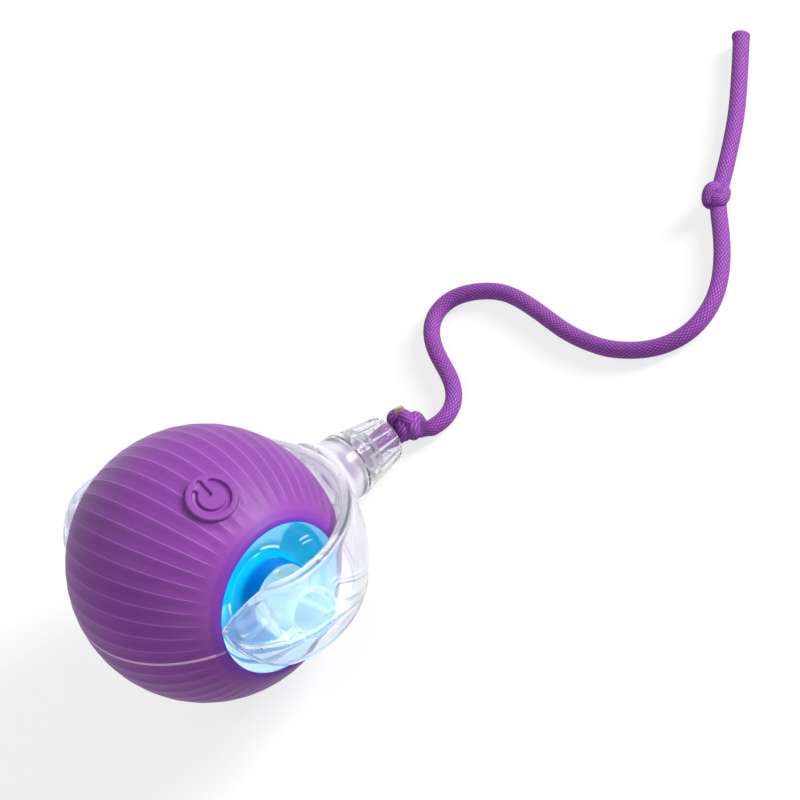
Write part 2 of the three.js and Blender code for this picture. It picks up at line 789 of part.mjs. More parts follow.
// Crown line of the harness in its own plane, from the bridge round one arm to its tip
function crownPoint(share) {
  const bridgeShare = 0.7;
  if (share < bridgeShare) {
    const angle = Math.PI / 2 * share / bridgeShare;
    const rise = THREE.MathUtils.smoothstep(angle, Math.PI / 4, Math.PI / 2);
    const radius = bridgeCrown + (armCrown - bridgeCrown) * rise;
    return new THREE.Vector2(radius * Math.cos(angle), radius * Math.sin(angle));
  }
  const turn = Math.PI / 2 * (share - bridgeShare) / (1 - bridgeShare);
  const reach = tipReach * Math.sin(turn);
  const fall = (1 - Math.sin(turn) ** 2) ** tipExponent;
  return new THREE.Vector2(-reach, tipHeight + (armCrown - tipHeight) * fall);
}

function armWidthAt(x) {
  const start = tipReach - tipRadius;
  const past = Math.max(0, -x - start);
  const narrowest = armThickness / 2;
  return Math.max(narrowest, armHalfWidth * Math.sqrt(Math.max(0, 1 - (past / tipRadius) ** 2)));
}

// Thick curved band over the ball: rows of outer points and the same rows moved inwards
function harnessBand() {
  const stations = 34;
  const across = 6;
  const line = [];
  for (let i = -stations / 2; i <= stations / 2; i += 1) {
    const point = crownPoint(Math.abs(i) / (stations / 2));
    line.push(new THREE.Vector2(point.x, i < 0 ? -point.y : point.y));
  }
  const rows = line.map((point, i) => {
    const before = line[Math.max(0, i - 1)];
    const after = line[Math.min(stations, i + 1)];
    const along = after.clone().sub(before).normalize();
    const outward = new THREE.Vector2(along.y, -along.x);
    const half = armWidthAt(point.x);
    const towardArm = THREE.MathUtils.smoothstep(Math.abs(Math.atan2(point.y, point.x)), Math.PI / 6, Math.PI / 2);
    const drop = bridgeDrop + (armDrop - bridgeDrop) * towardArm;
    const row = { outer: [], inner: [] };
    for (let j = 0; j <= across; j += 1) {
      const offset = half * (2 * j / across - 1);
      const fall = drop * (offset / armHalfWidth) ** 2;
      const top = point.clone().addScaledVector(outward, -fall);
      const bottom = point.clone().addScaledVector(outward, -fall - armThickness);
      row.outer.push(new THREE.Vector3(top.x, top.y, offset));
      row.inner.push(new THREE.Vector3(bottom.x, bottom.y, offset));
    }
    return row;
  });
  return thickSheet(rows.map((row) => row.outer), rows.map((row) => row.inner));
}

// A closed solid between two grids of points with the same rows and columns
function thickSheet(topGrid, bottomGrid) {
  const rowCount = topGrid.length;
  const columns = topGrid[0].length;
  const points = [...topGrid.flat(), ...bottomGrid.flat()];
  const at = (layer, row, column) => (layer * rowCount + row) * columns + column;
  const faces = [];
  const quad = (a, b, c, d) => faces.push(a, b, c, a, c, d);
  for (let r = 0; r < rowCount - 1; r += 1) {
    for (let c = 0; c < columns - 1; c += 1) {
      quad(at(0, r, c), at(0, r + 1, c), at(0, r + 1, c + 1), at(0, r, c + 1));
      quad(at(1, r, c), at(1, r, c + 1), at(1, r + 1, c + 1), at(1, r + 1, c));
    }
    quad(at(0, r, 0), at(1, r, 0), at(1, r + 1, 0), at(0, r + 1, 0));
    quad(at(0, r, columns - 1), at(0, r + 1, columns - 1), at(1, r + 1, columns - 1), at(1, r, columns - 1));
  }
  for (let c = 0; c < columns - 1; c += 1) {
    quad(at(0, 0, c), at(0, 0, c + 1), at(1, 0, c + 1), at(1, 0, c));
    quad(at(0, rowCount - 1, c), at(1, rowCount - 1, c), at(1, rowCount - 1, c + 1), at(0, rowCount - 1, c + 1));
  }
  const geometry = new THREE.BufferGeometry().setFromPoints(points);
  geometry.setIndex(faces);
  return geometry;
}

// Clear harness in its own frame: the neck runs along +X, the hub axis along Y
function tail_yoke() {
  const underArm = armCrown - armThickness;
  const pins = [-1, 1].map((side) => {
    const section = [
      [0, cupBase + cupFloor + fitGap],
      [pinRadius, cupBase + cupFloor + fitGap],
      [pinRadius, cupTop + pinFlare],
      [pinRadius + pinFlare, underArm + armThickness / 2],
      [0, underArm + armThickness / 2],
    ];
    return turned(section.map(([radius, height]) => [radius, side * height]), 18);
  });
  const neck = turnedAlongX([
    [0, bridgeCrown - armThickness / 2],
    [neckRadius + neckFlare, bridgeCrown - armThickness / 2],
    [neckRadius, bridgeCrown + neckFlare],
    [neckRadius, neckEnd],
    [spigotRadius, neckEnd],
    [spigotRadius, neckEnd + spigotLength],
    [0, neckEnd + spigotLength],
  ], 36);
  const bore = turnedAlongX([
    [0, bridgeCrown + fitGap],
    [neckBore, bridgeCrown + fitGap],
    [neckBore, neckEnd - neckBore + spigotBore],
    [spigotBore, neckEnd],
    [spigotBore, neckEnd + spigotLength + cutOverrun],
    [0, neckEnd + spigotLength + cutOverrun],
  ], 24);
  return cut(join(harnessBand(), neck, ...pins), bore);
}

// Screw cap: tapered and fluted outside, threaded bore and rope hole inside
function screw_cap() {
  const around = fluteCount * 4;
  const ringOf = (x, radius, depth) => Array.from({ length: around }, (_, i) => {
    const angle = 2 * Math.PI * i / around;
    const flute = i % 4 === 0 ? depth : 0;
    return new THREE.Vector3(x, (radius - flute) * Math.cos(angle), (radius - flute) * Math.sin(angle));
  });
  const boreRadius = spigotRadius + fitGap;
  const fluteStart = capBase + capLength / 6;
  const taper = (x) => neckRadius + (capTipRadius - neckRadius) * (x - capBase) / capLength;
  const rings = [
    ringOf(capBase, neckRadius, 0),
    ringOf(fluteStart, taper(fluteStart), 0),
    ringOf(fluteStart + fluteDepth, taper(fluteStart), fluteDepth),
    ringOf(capTip - fluteDepth, taper(capTip - fluteDepth), fluteDepth),
    ringOf(capTip, capTipRadius, fluteDepth / 2),
    ringOf(capTip, capHole, 0),
    ringOf(capTip - capHoleLength, capHole, 0),
    ringOf(capBase + capThreadDepth, capCavity, 0),
    ringOf(capBase + capThreadDepth, boreRadius, 0),
    ringOf(capBase, boreRadius, 0),
  ];
  return solid(ringLoft(rings));
}

// Rings of points joined one to the next and the last to the first
function ringLoft(rings) {
  const around = rings[0].length;
  const faces = [];
  rings.forEach((_, r) => {
    const next = (r + 1) % rings.length;
    for (let i = 0; i < around; i += 1) {
      const j = (i + 1) % around;
      faces.push(r * around + i, r * around + j, next * around + j);
      faces.push(r * around + i, next * around + j, next * around + i);
    }
  });
  const geometry = new THREE.BufferGeometry().setFromPoints(rings.flat());
  geometry.setIndex(faces);
  return geometry;
}

const washerPlace = () => capBase + capThreadDepth + fitGap;

function rope_washer() {
  const low = washerPlace();
  const high = low + washerThickness;
  const slope = (capCavity - capHole) / (capLength - capHoleLength - capThreadDepth);
  const radius = capCavity - slope * (fitGap + washerThickness) - fitGap / 2;
  const bore = strandWaist + fitGap / 2;
  return solid(turnedAlongX([[bore, low], [radius, low], [radius, high], [bore, high]], 24));
}

// Stopper knot inside the neck, a barrel with rounded ends
function stopper_knot() {
  const end = washerPlace() - fitGap;
  const steps = 6;
  const section = Array.from({ length: steps + 1 }, (_, i) => {
    const angle = Math.PI * i / steps;
    const radius = i === 0 || i === steps ? 0 : stopperRadius * Math.sin(angle) ** 0.5;
    return [radius, end - stopperLength / 2 + stopperLength / 2 * Math.cos(angle)];
  });
  return solid(turnedAlongX(section, 16));
}

// The doubled rope that fills the cap and flares out of its mouth
function rope_strands() {
  const start = washerPlace() - fitGap / 2;
  const flare = washerPlace() + washerThickness + fitGap;
  return solid(turnedAlongX([
    [0, start],
    [strandWaist, start],
    [strandWaist, flare],
    [capHole - fitGap, flare + strandRadius - strandWaist],
    [strandRadius, capTip],
    [strandRadius - fitGap, knotAlong - neckKnotRadius - ropeFloorGap],
    [0, knotAlong - neckKnotRadius - ropeFloorGap],
  ], 16));
}

const knotAlong = capTip + neckKnotRadius + ropeDiameter / 4;
const knotHeight = neckKnotRadius + ropeFloorGap;
const knotPlace = new THREE.Vector3(
  (knotAlong + (knotHeight - ballRadius) * Math.sin(neckTilt)) / Math.cos(neckTilt),
  -neckKnotOffset,
  knotHeight,
);

function knotLump(radius, flatShare) {
  return new THREE.SphereGeometry(radius, 14, 8).scale(1, 1, flatShare);
}

function neck_knot() {
  return solid(knotLump(neckKnotRadius, 1));
}

// Route of the free rope on the floor, from the ball's floor contact point; [x, y, height of its middle]
const ropeRoute = [
  [44.2, -5.95, 2.1], [45.9, -6.9, 1.85], [48.1, -7.3, 1.6], [50.5, -6.7, 1.52], [52.7, -5, 1.52],
  [54.6, -2.5, 1.52], [56.3, 0.6, 1.52], [58.1, 3.8, 1.52], [60.2, 6.5, 1.52], [62.7, 8.4, 1.52],
  [65.6, 8.9, 1.52], [68.3, 7.8, 1.52], [70.6, 5, 1.52], [72.1, 1.7, 1.52], [72.9, -1.7, 1.52],
  [72.9, -5, 1.52], [72.5, -8.3, 1.52], [71.9, -11.6, 1.52], [71.2, -15, 1.52], [70.5, -18.5, 1.52],
  [70.1, -22.1, 1.52], [70, -25.8, 1.52], [70.2, -29.4, 1.52], [71, -33, 1.52], [72.2, -36.3, 1.52],
  [73.8, -39.2, 1.52], [76, -41.6, 1.52], [78.6, -43.3, 1.52], [81.7, -44.1, 1.52], [84.9, -44, 1.52],
  [88.3, -43, 1.52], [91.7, -41.2, 1.52], [94.9, -39, 1.52], [97.8, -36.6, 1.52], [100.9, -33.8, 1.52],
];
const endKnotPlace = [103.2, -32.2, 2.5];
const endRoute = [
  [105.7, -30.8, 1.6], [111.3, -28.4, 1.52], [119.5, -24.4, 1.52], [127.4, -19.5, 1.52], [134, -15.1, 1.52],
];

function ropeAlong(route, steps) {
  const points = route.map(([x, y, z]) => new THREE.Vector3(x, y, z));
  const path = new THREE.CatmullRomCurve3(points, false, 'centripetal');
  const sides = 8;
  const ring = Array.from({ length: sides }, (_, i) => {
    const angle = 2 * Math.PI * (i + 0.5) / sides;
    return new THREE.Vector2(Math.cos(angle), Math.sin(angle)).multiplyScalar(ropeDiameter / 2);
  });
  return solid(new THREE.ExtrudeGeometry(new THREE.Shape(ring), { steps, extrudePath: path }));
}

// Short end of the neck knot with its fused tip
function knot_stub() {
  const low = neckKnotRadius + ropeFloorGap;
  return solid(rodZ(stubRadius, low, low + stubLength, stubShift / 2, -stubShift, 12));
}

const finishes = {
  silicone: { color: 0x8f42ad, roughness: 0.55, metalness: 0 },
  button: { color: 0x8a3ea8, roughness: 0.5, metalness: 0 },
  shell: { color: 0xd8d4dc, roughness: 0.5, metalness: 0 },
  dish: { color: 0x2f9fe8, roughness: 0.15, metalness: 0 },
  clear: { color: 0xe6eef5, roughness: 0.05, metalness: 0, transparent: true, opacity: 0.4 },
  chassis: { color: 0x3a3a40, roughness: 0.6, metalness: 0 },
  gear: { color: 0xe8e2d0, roughness: 0.5, metalness: 0 },
  steel: { color: 0x9a9ca0, roughness: 0.35, metalness: 1 },
  cell: { color: 0xb9c0c8, roughness: 0.4, metalness: 0.6 },
  board: { color: 0x1f6b3a, roughness: 0.5, metalness: 0 },
  part: { color: 0x24242a, roughness: 0.4, metalness: 0 },
  led: { color: 0xdff4ff, roughness: 0.2, metalness: 0 },
  rope: { color: 0x8a3aa4, roughness: 0.85, metalness: 0 },
  tip: { color: 0xb9a04a, roughness: 0.6, metalness: 0 },
};

function piece(name, shape, finish) {
  const geometry = shape.isBufferGeometry ? shape : geometryOf(shape);
  geometry.computeVertexNormals();
  const mesh = new THREE.Mesh(geometry, new THREE.MeshStandardMaterial(finishes[finish]));
  mesh.name = name;
  return mesh;
}

const sides = [['left', -1], ['right', 1]];

function ballPieces() {
  const ball = new THREE.Group();
  ball.rotation.y = Math.PI / 2 - buttonAzimuth;
  ball.add(piece('silicone_sleeve', silicone_sleeve(), 'silicone'));
  ball.add(piece('upper_shell', upper_shell(), 'shell'));
  ball.add(piece('lower_shell', lower_shell(), 'shell'));
  screwPlaces().forEach((place, i) => ball.add(piece(`shell_screw_${i + 1}`, shell_screw(place), 'steel')));
  sides.forEach(([word, side]) => {
    ball.add(piece(`hub_dish_${word}`, hub_dish(side), 'dish'));
    ball.add(piece(`pivot_cup_${word}`, pivot_cup(side), 'clear'));
    ball.add(piece(`led_board_${word}`, led_board(side), 'board'));
    for (let i = 0; i < ledCount; i += 1) ball.add(piece(`led_${word}_${i + 1}`, led(side, i), 'led'));
  });
  ball.add(piece('chassis_left', chassis_left(), 'chassis'));
  ball.add(piece('chassis_right', chassis_right(), 'chassis'));
  postPlaces().forEach((place, i) => ball.add(piece(`chassis_screw_${i + 1}`, chassis_screw(place), 'steel')));
  ball.add(piece('battery_cell', battery_cell(), 'cell'));
  ball.add(piece('circuit_board', circuit_board(), 'board'));
  ball.add(piece('motor', motor(), 'steel'));
  ball.add(piece('gearbox', gearbox(), 'part'));
  ball.add(piece('drive_shaft', drive_shaft(), 'steel'));
  ball.add(piece('drive_gear', drive_gear(), 'gear'));
  ball.add(piece('weight_carrier', weight_carrier(), 'gear'));

  const buttonStack = new THREE.Group();
  buttonStack.rotation.x = buttonLatitude;
  buttonStack.add(piece('power_button', power_button(), 'button'));
  buttonStack.add(piece('tact_switch', tact_switch(), 'part'));
  buttonStack.add(piece('switch_board', switch_board(), 'board'));
  ball.add(buttonStack);

  const socketTurn = new THREE.Group();
  const socketLift = new THREE.Group();
  socketTurn.rotation.y = -socketAzimuth;
  socketLift.rotation.z = socketLatitude;
  socketLift.add(piece('charge_socket', charge_socket(), 'steel'));
  socketLift.add(piece('charge_board', charge_board(), 'board'));
  socketTurn.add(socketLift);
  ball.add(socketTurn);
  return ball;
}

function harnessPieces() {
  const harness = new THREE.Group();
  harness.rotation.y = neckTilt;
  harness.add(piece('tail_yoke', tail_yoke(), 'clear'));
  harness.add(piece('screw_cap', screw_cap(), 'clear'));
  harness.add(piece('rope_washer', rope_washer(), 'steel'));
  harness.add(piece('stopper_knot', stopper_knot(), 'rope'));
  harness.add(piece('rope_strands', rope_strands(), 'rope'));
  return harness;
}

// Pieces that lie on the floor, measured from the ball's floor contact point
function ropePieces() {
  const rope = new THREE.Group();
  rope.position.z = -ballRadius;
  const knot = piece('neck_knot', neck_knot(), 'rope');
  const stub = piece('knot_stub', knot_stub(), 'tip');
  const endKnot = piece('end_knot', solid(knotLump(endKnotRadius, endKnotFlatShare)), 'rope');
  knot.position.copy(knotPlace);
  stub.position.copy(knotPlace);
  endKnot.position.set(...endKnotPlace);
  rope.add(knot, stub, endKnot);
  rope.add(piece('tail_rope', ropeAlong(ropeRoute, 46), 'rope'));
  rope.add(piece('tail_rope_end', ropeAlong(endRoute, 8), 'rope'));
  return rope;
}

// The origin is on the floor, below the middle of the ball and harness together
const reachForward = capTip * Math.cos(neckTilt) + capTipRadius * Math.sin(neckTilt);
const middle = (reachForward - ballRadius) / 2;

const toy = new THREE.Group();
toy.position.set(-middle, 0, ballRadius);
toy.add(ballPieces());
toy.add(piece('counterweight', counterweight(), 'steel'));
toy.add(harnessPieces());
toy.add(ropePieces());

export default toy;
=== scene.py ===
"""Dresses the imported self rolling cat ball: ribbed silicone ball, lit hubs, clear harness, cap and rope tail."""

import math

import bmesh
import bpy
import numpy as np
from bpy.props import FloatProperty, FloatVectorProperty, IntProperty, PointerProperty
from mathutils import Matrix, Vector


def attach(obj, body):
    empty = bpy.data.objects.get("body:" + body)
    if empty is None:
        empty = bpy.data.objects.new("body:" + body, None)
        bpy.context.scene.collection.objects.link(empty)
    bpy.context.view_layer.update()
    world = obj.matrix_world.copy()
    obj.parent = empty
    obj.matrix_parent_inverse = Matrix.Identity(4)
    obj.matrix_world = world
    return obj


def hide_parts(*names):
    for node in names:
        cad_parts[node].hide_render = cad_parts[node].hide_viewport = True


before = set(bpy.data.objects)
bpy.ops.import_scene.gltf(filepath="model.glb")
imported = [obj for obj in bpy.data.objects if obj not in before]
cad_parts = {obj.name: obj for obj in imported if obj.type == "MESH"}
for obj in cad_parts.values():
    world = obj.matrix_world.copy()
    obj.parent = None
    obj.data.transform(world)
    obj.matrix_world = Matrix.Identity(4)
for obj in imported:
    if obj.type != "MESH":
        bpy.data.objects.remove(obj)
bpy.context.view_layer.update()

bl_info = {
    "name": "Self rolling cat ball",
    "version": (1, 0, 0),
    "blender": (4, 5, 0),
    "location": "View3D > Sidebar > Cat ball",
    "description": "Shapes and finishes of a self rolling cat ball with a rope tail",
    "category": "Object",
}

MM = 0.001

WHITE = (1.0, 1.0, 1.0)
BLACK = (0.0, 0.0, 0.0)

# Three lamps light each dish: the angle of the first, and that between two, in degrees
LAMP_START, LAMP_PITCH = 17, 120

# Places in the CAD frame, in millimetres, and turns, in radians
BALL_CENTRE = np.array([-8.5109, 0.0, 23.985])
FLOOR_CONTACT = np.array([-8.5109, 0.0, 0.0])
BALL_TURN = math.radians(16)
NECK_TILT = math.radians(27.365)
BUTTON_LATITUDE = math.radians(29.807)
SOCKET_AZIMUTH = math.radians(-135)
SOCKET_LATITUDE = math.radians(33)
SYMBOL_HEADING = math.radians(83)

# Middle of the rope from the ball's contact with the floor. Its points are spaced evenly and eased in a number of
# passes. It starts inside the knot at the cap, ends inside the end knot and goes on from there.
ROPE_SPACING, ROPE_EASING = 0.25, 60
ROPE_INTO_NECK = (42.7, -4.9, 2.4)
ROPE_INTO_END = (102.1, -32.95, 1.8)
ROPE_FROM_END = (104.4, -31.5, 1.9)
ROPE_ROUTE = [
    (44.2, -5.95, 2.1), (45.9, -6.9, 1.85), (48.1, -7.3, 1.6), (50.5, -6.7, 1.52), (52.7, -5, 1.52),
    (54.6, -2.5, 1.52), (56.3, 0.6, 1.52), (58.1, 3.8, 1.52), (60.2, 6.5, 1.52), (62.7, 8.4, 1.52),
    (65.6, 8.9, 1.52), (68.3, 7.8, 1.52), (70.6, 5, 1.52), (72.1, 1.7, 1.52), (72.9, -1.7, 1.52),
    (72.9, -5, 1.52), (72.5, -8.3, 1.52), (71.9, -11.6, 1.52), (71.2, -15, 1.52), (70.5, -18.5, 1.52),
    (70.1, -22.1, 1.52), (70, -25.8, 1.52), (70.2, -29.4, 1.52), (71, -33, 1.52), (72.2, -36.3, 1.52),
    (73.8, -39.2, 1.52), (76, -41.6, 1.52), (78.6, -43.3, 1.52), (81.7, -44.1, 1.52), (84.9, -44, 1.52),
    (88.3, -43, 1.52), (91.7, -41.2, 1.52), (94.9, -39, 1.52), (97.8, -36.6, 1.52), (100.9, -33.8, 1.52),
]
END_KNOT_PLACE = (103.2, -32.2, 2.75)
END_ROUTE = [
    (105.7, -30.8, 1.6), (111.3, -28.4, 1.52), (119.5, -24.4, 1.52), (127.4, -19.5, 1.52), (134, -15.1, 1.52),
]
NECK_KNOT_PLACE = (42.65, -2.35, 3.35)
KNOT_UP = (0.3, 0.2, 0.93)
# Radius that the lay of the braid is counted round
LAY_RADIUS = 1.5

# Harness from the ball's middle: outside of the bridge and of the arms, end of the tips and its distance to the
# side, end of the neck, and the cap's two ends
BRIDGE_RADIUS = 28.285
ARM_RADIUS = 29.585
TIP_REACH, TIP_ASIDE = 12.435, 17.85
NECK_END = 34.0
CAP_BASE, CAP_END = 34.3, 44.0

# Strengthening struts in the tips of the harness's arms, which also carry a painted highlight: ends along and
# across the arm, in millimetres
HARNESS_STRUTS = (((-8.3, 7.4), (-8.7, 3.7)), ((-8.7, 3.7), (-11.5, 0.2)), ((-8.7, 3.7), (-6.6, -1.8)))
# Lines along the arms, each a dark line of painted shade with a painted highlight beside it: where they start,
# their place across, how far they drop, from and to where, and how dark
HARNESS_LINES = ((-12.0, -2.1, 6.3, 4.0, 20.0, 0.7), (4.2, 2.8, 10.6, 6.0, 24.0, 1.0),
                 (5.2, 0.0, 8.3, 5.0, 21.0, 1.0))


# ---------------------------------------------------------------- sizes and colours

def length(name, description, default_mm):
    return FloatProperty(name=name, description=description, default=default_mm * MM, min=0.0,
                         unit="LENGTH", precision=5)


def colour(name, description, default):
    return FloatVectorProperty(name=name, description=description, default=default, min=0.0, max=1.0,
                               size=3, subtype="COLOR")


def painted(red, green, blue):
    """Linear colour from the 0 to 255 values of a picture: a power curve above a short straight start."""
    share = np.array([red, green, blue]) / 255
    return tuple(np.where(share <= 0.04045, share / 12.92, ((share + 0.055) / 1.055) ** 2.4).tolist())


def dimmed(tint, share):
    """A colour times a share."""
    return tuple(share * c for c in tint)


LIT_BLUE = painted(150, 226, 252)


class SleeveSizes(bpy.types.PropertyGroup):
    radius: length("Ball radius", "Radius over the crests of the ribs", 23.985)
    inner_radius: length("Inner radius", "Radius of the sleeve's inside", 21.985)
    rib_count: IntProperty(name="Ribs", description="Number of ribs round the ball", default=48, min=8, max=96)
    rib_depth: length("Rib depth", "Depth of the hollow between two crests", 0.03)
    bead_rise: length("Rib bead", "Height of the thin bead on each crest", 0.01)
    lip_inner: length("Lip inner radius", "Radius of the hub opening", 14.035)
    lip_width: length("Lip width", "Width of the smooth rolled lip", 1.3)
    opening_plane: length("Opening plane", "Distance of the lip's top from the middle", 19.45)
    silicone: colour("Silicone", "Colour of the silicone", painted(134, 60, 156))
    # crest: colour of a painted highlight along the crests of the ribs
    crest: colour("Crest", "Lighter colour along the crests", painted(176, 122, 202))


class ButtonSizes(bpy.types.PropertyGroup):
    radius: length("Button radius", "Outer radius of the raised ring", 4.55)
    proud: length("Proud height", "Height of the ring over the ball", 0.6)
    groove_depth: length("Groove depth", "Depth of the symbol's grooves", 0.55)
    groove_width: length("Groove width", "Width of the symbol's grooves", 1.0)
    symbol_radius: length("Symbol radius", "Radius of the middle of the arc groove", 2.9)


class HubSizes(bpy.types.PropertyGroup):
    dish_radius: length("Dish radius", "Outer radius of the dish", 13.735)
    cup_radius: length("Cup radius", "Outer radius of the clear cup", 6.1)
    pale: colour("Lit edge", "Colour of the dish where it is brightest", painted(146, 226, 244))
    middle: colour("Lit middle", "Colour of the dish in its middle", painted(0, 170, 210))
    deep: colour("Deep blue", "Colour of the dish near the cup", painted(0, 98, 172))


class HarnessSizes(bpy.types.PropertyGroup):
    thickness: length("Arm thickness", "Thickness of the clear arms", 1.6)
    half_width: length("Half width", "Half of the width of the arms", 8.4)
    neck_radius: length("Neck radius", "Radius of the neck", 6.0)
    clear: colour("Clear plastic", "Tint of the clear plastic", painted(246, 246, 251))


class RopeSizes(bpy.types.PropertyGroup):
    diameter: length("Rope diameter", "Diameter of the braided rope", 3.0)
    strands: IntProperty(name="Strands", description="Strands each way round the rope", default=16,
                         min=6, max=40)
    yarn: colour("Yarn", "Colour of the yarn", painted(148, 70, 170))
    # gap: colour of painted shade down between the strands; shine: colour of a painted highlight on the raised
    # yarn
    gap: colour("Gap", "Colour between the strands", painted(90, 36, 110))
    shine: colour("Shine", "Colour of the raised yarn", painted(182, 112, 206))


class StageLook(bpy.types.PropertyGroup):
    floor: colour("Floor", "Colour of the floor", (0.28, 0.28, 0.28))
    glow: FloatProperty(name="Floor glow", description="Light that the floor adds in the picture",
                        default=0.75, min=0.0, max=1.0)
    world: FloatProperty(name="World light", description="Light of the world on the object",
                         default=0.27, min=0.0, max=1.0)


# ---------------------------------------------------------------- numpy shapes

def spun(points, axis, angle):
    """Points turned about X, Y or Z. With p and q the next two axes in that round, p becomes p cos - q sin
    and q becomes p sin + q cos."""
    i = "XYZ".index(axis)
    p, q = (i + 1) % 3, (i + 2) % 3
    c, s = math.cos(angle), math.sin(angle)
    made = np.array(points, float)
    made[..., p] = points[..., p] * c - points[..., q] * s
    made[..., q] = points[..., p] * s + points[..., q] * c
    return made


def on_ball(points):
    """From the ball's own frame to the CAD frame."""
    return spun(points, "Y", BALL_TURN) + BALL_CENTRE


def on_button(points):
    """From the button's own frame, with its axis along Z from the ball's middle, to the CAD frame."""
    return on_ball(spun(points, "X", BUTTON_LATITUDE))


def on_harness(points):
    """From the harness's own frame, with its neck along X from the ball's middle, to the CAD frame."""
    return spun(points, "Y", NECK_TILT) + BALL_CENTRE


def on_floor(points):
    """From the frame at the ball's contact with the floor to the CAD frame."""
    return points + FLOOR_CONTACT


def smooth(value, low, high):
    """0 below low, 1 above high, and 3 t squared less 2 t cubed between."""
    t = np.clip((value - low) / (high - low), 0, 1)
    return t * t * (3 - 2 * t)


def arc(radius, start, end, steps):
    """Points of an arc in the radius and height plane, with angles in degrees from the radius axis."""
    angle = np.radians(np.linspace(start, end, steps))
    return np.stack([radius * np.cos(angle), radius * np.sin(angle)], -1)


def rounded(corners, rounding, steps):
    """Profile whose corners are quadratic Bezier bends: the point at share t is (1-t)(1-t)A + 2t(1-t)B + t t C,
    where B is the corner and A and C lie on its sides at the rounding's distance, or at half of the side."""
    corners = np.asarray(corners, float)
    out = [corners[:1]]
    t = np.linspace(0, 1, steps)[:, None]
    for before, corner, after in zip(corners[:-2], corners[1:-1], corners[2:]):
        back, ahead = before - corner, after - corner
        a = corner + back * min(0.5, rounding / max(1e-9, np.linalg.norm(back)))
        c = corner + ahead * min(0.5, rounding / max(1e-9, np.linalg.norm(ahead)))
        out.append((1 - t) ** 2 * a + 2 * t * (1 - t) * corner + t ** 2 * c)
    return np.concatenate([*out, corners[-1:]])


def unit(rows):
    """Each row divided by its length."""
    return rows / np.maximum(np.linalg.norm(rows, axis=-1, keepdims=True), 1e-9)


def turned(profile, sides, axis="Y"):
    """Surface of revolution: each (radius, height) of the profile goes round the axis; rows are its points."""
    profile = np.asarray(profile, float)
    angle = np.linspace(0, 2 * math.pi, sides + 1)
    radius, height = profile[:, :1], profile[:, 1:]
    a, b = radius * np.cos(angle), radius * np.sin(angle)
    h = height + 0 * angle
    order = {"X": (h, a, b), "Y": (b, h, a), "Z": (a, b, h)}[axis]
    return np.stack(order, -1)


def grid_faces(rows, columns):
    """Four corners of every cell of a grid of rows and columns, as indices."""
    corner = np.arange(rows * columns).reshape(rows, columns)
    cells = [corner[:-1, :-1], corner[:-1, 1:], corner[1:, 1:], corner[1:, :-1]]
    return np.stack(cells, -1).reshape(-1, 4)


def mesh_from_grids(name, grids, uv_grids=None, sharp_degrees=35.0, closed_rows=False):
    """Mesh of one or more grids of points in millimetres. Points that meet are merged, faces turned outwards."""
    points, faces, uvs, count = [], [], [], 0
    for i, grid in enumerate(grids):
        grid = np.asarray(grid, float)
        if closed_rows:
            grid = np.concatenate([grid, grid[:1]])
        rows, columns = grid.shape[:2]
        points.append(grid.reshape(-1, 3))
        faces.append(grid_faces(rows, columns) + count)
        if uv_grids is not None:
            uvs.append(np.asarray(uv_grids[i], float).reshape(-1, 2))
        count += rows * columns
    points, faces = np.concatenate(points) * MM, np.concatenate(faces)
    mesh = bpy.data.meshes.new(name)
    mesh.vertices.add(len(points))
    mesh.vertices.foreach_set("co", points.astype(np.float32).ravel())
    mesh.loops.add(faces.size)
    mesh.loops.foreach_set("vertex_index", faces.astype(np.int32).ravel())
    mesh.polygons.add(len(faces))
    mesh.polygons.foreach_set("loop_start", np.arange(0, faces.size, 4, dtype=np.int32))
    mesh.update(calc_edges=True)
    if uvs:
        layer = mesh.uv_layers.new(name="Lay")
        layer.data.foreach_set("uv", np.concatenate(uvs)[faces.ravel()].astype(np.float32).ravel())
    tidy(mesh, sharp_degrees)
    return mesh


def tidy(mesh, sharp_degrees):
    """Merges doubled points, turns the faces outwards and shades smooth between sharp edges."""
    work = bmesh.new()
    work.from_mesh(mesh)
    bmesh.ops.remove_doubles(work, verts=work.verts, dist=2e-7)
    bmesh.ops.dissolve_degenerate(work, edges=work.edges, dist=1e-8)
    bmesh.ops.holes_fill(work, edges=[e for e in work.edges if e.is_boundary], sides=0)
    bmesh.ops.recalc_face_normals(work, faces=work.faces)
    work.to_mesh(mesh)
    work.free()
    mesh.polygons.foreach_set("use_smooth", np.ones(len(mesh.polygons), bool))
    mesh.set_sharp_from_angle(angle=math.radians(sharp_degrees))
    mesh.update()


def combined(name, mesh, others, operation, sharp_degrees):
    """A mesh joined with, or cut by, other closed meshes."""
    base = bpy.data.objects.new(name + "_work", mesh)
    bpy.context.scene.collection.objects.link(base)
    tools = []
    for i, other in enumerate(others):
        tool = bpy.data.objects.new(f"{name}_tool_{i}", other)
        bpy.context.scene.collection.objects.link(tool)
        tools.append(tool)
        modifier = base.modifiers.new(f"step_{i}", "BOOLEAN")
        modifier.operation, modifier.solver, modifier.object = operation, "EXACT", tool
    bpy.context.view_layer.update()
    made = bpy.data.meshes.new_from_object(base.evaluated_get(bpy.context.evaluated_depsgraph_get()))
    made.name = name
    for extra in [base, *tools]:
        bpy.data.objects.remove(extra)
    if not made.polygons:
        raise RuntimeError(f"{name}: nothing was left of the shape")
    tidy(made, sharp_degrees)
    return made


def show(name, mesh, material, body, slot, *nodes):
    """Puts a finished mesh in the scene: it rides on a body, takes the given finish and stands for CAD nodes. The
    slot is not used.
    """
    obj = bpy.data.objects.new(name, mesh)
    mesh.materials.clear()
    mesh.materials.append(material)
    bpy.context.scene.collection.objects.link(obj)
    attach(obj, body)
    if nodes:
        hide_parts(*nodes)
    return obj


def dress(node, material):
    """Gives a CAD node a better material."""
    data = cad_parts[node].data
    if not data.materials:
        data.materials.append(material)
    for i in range(len(data.materials)):
        data.materials[i] = material


# ---------------------------------------------------------------- finishes

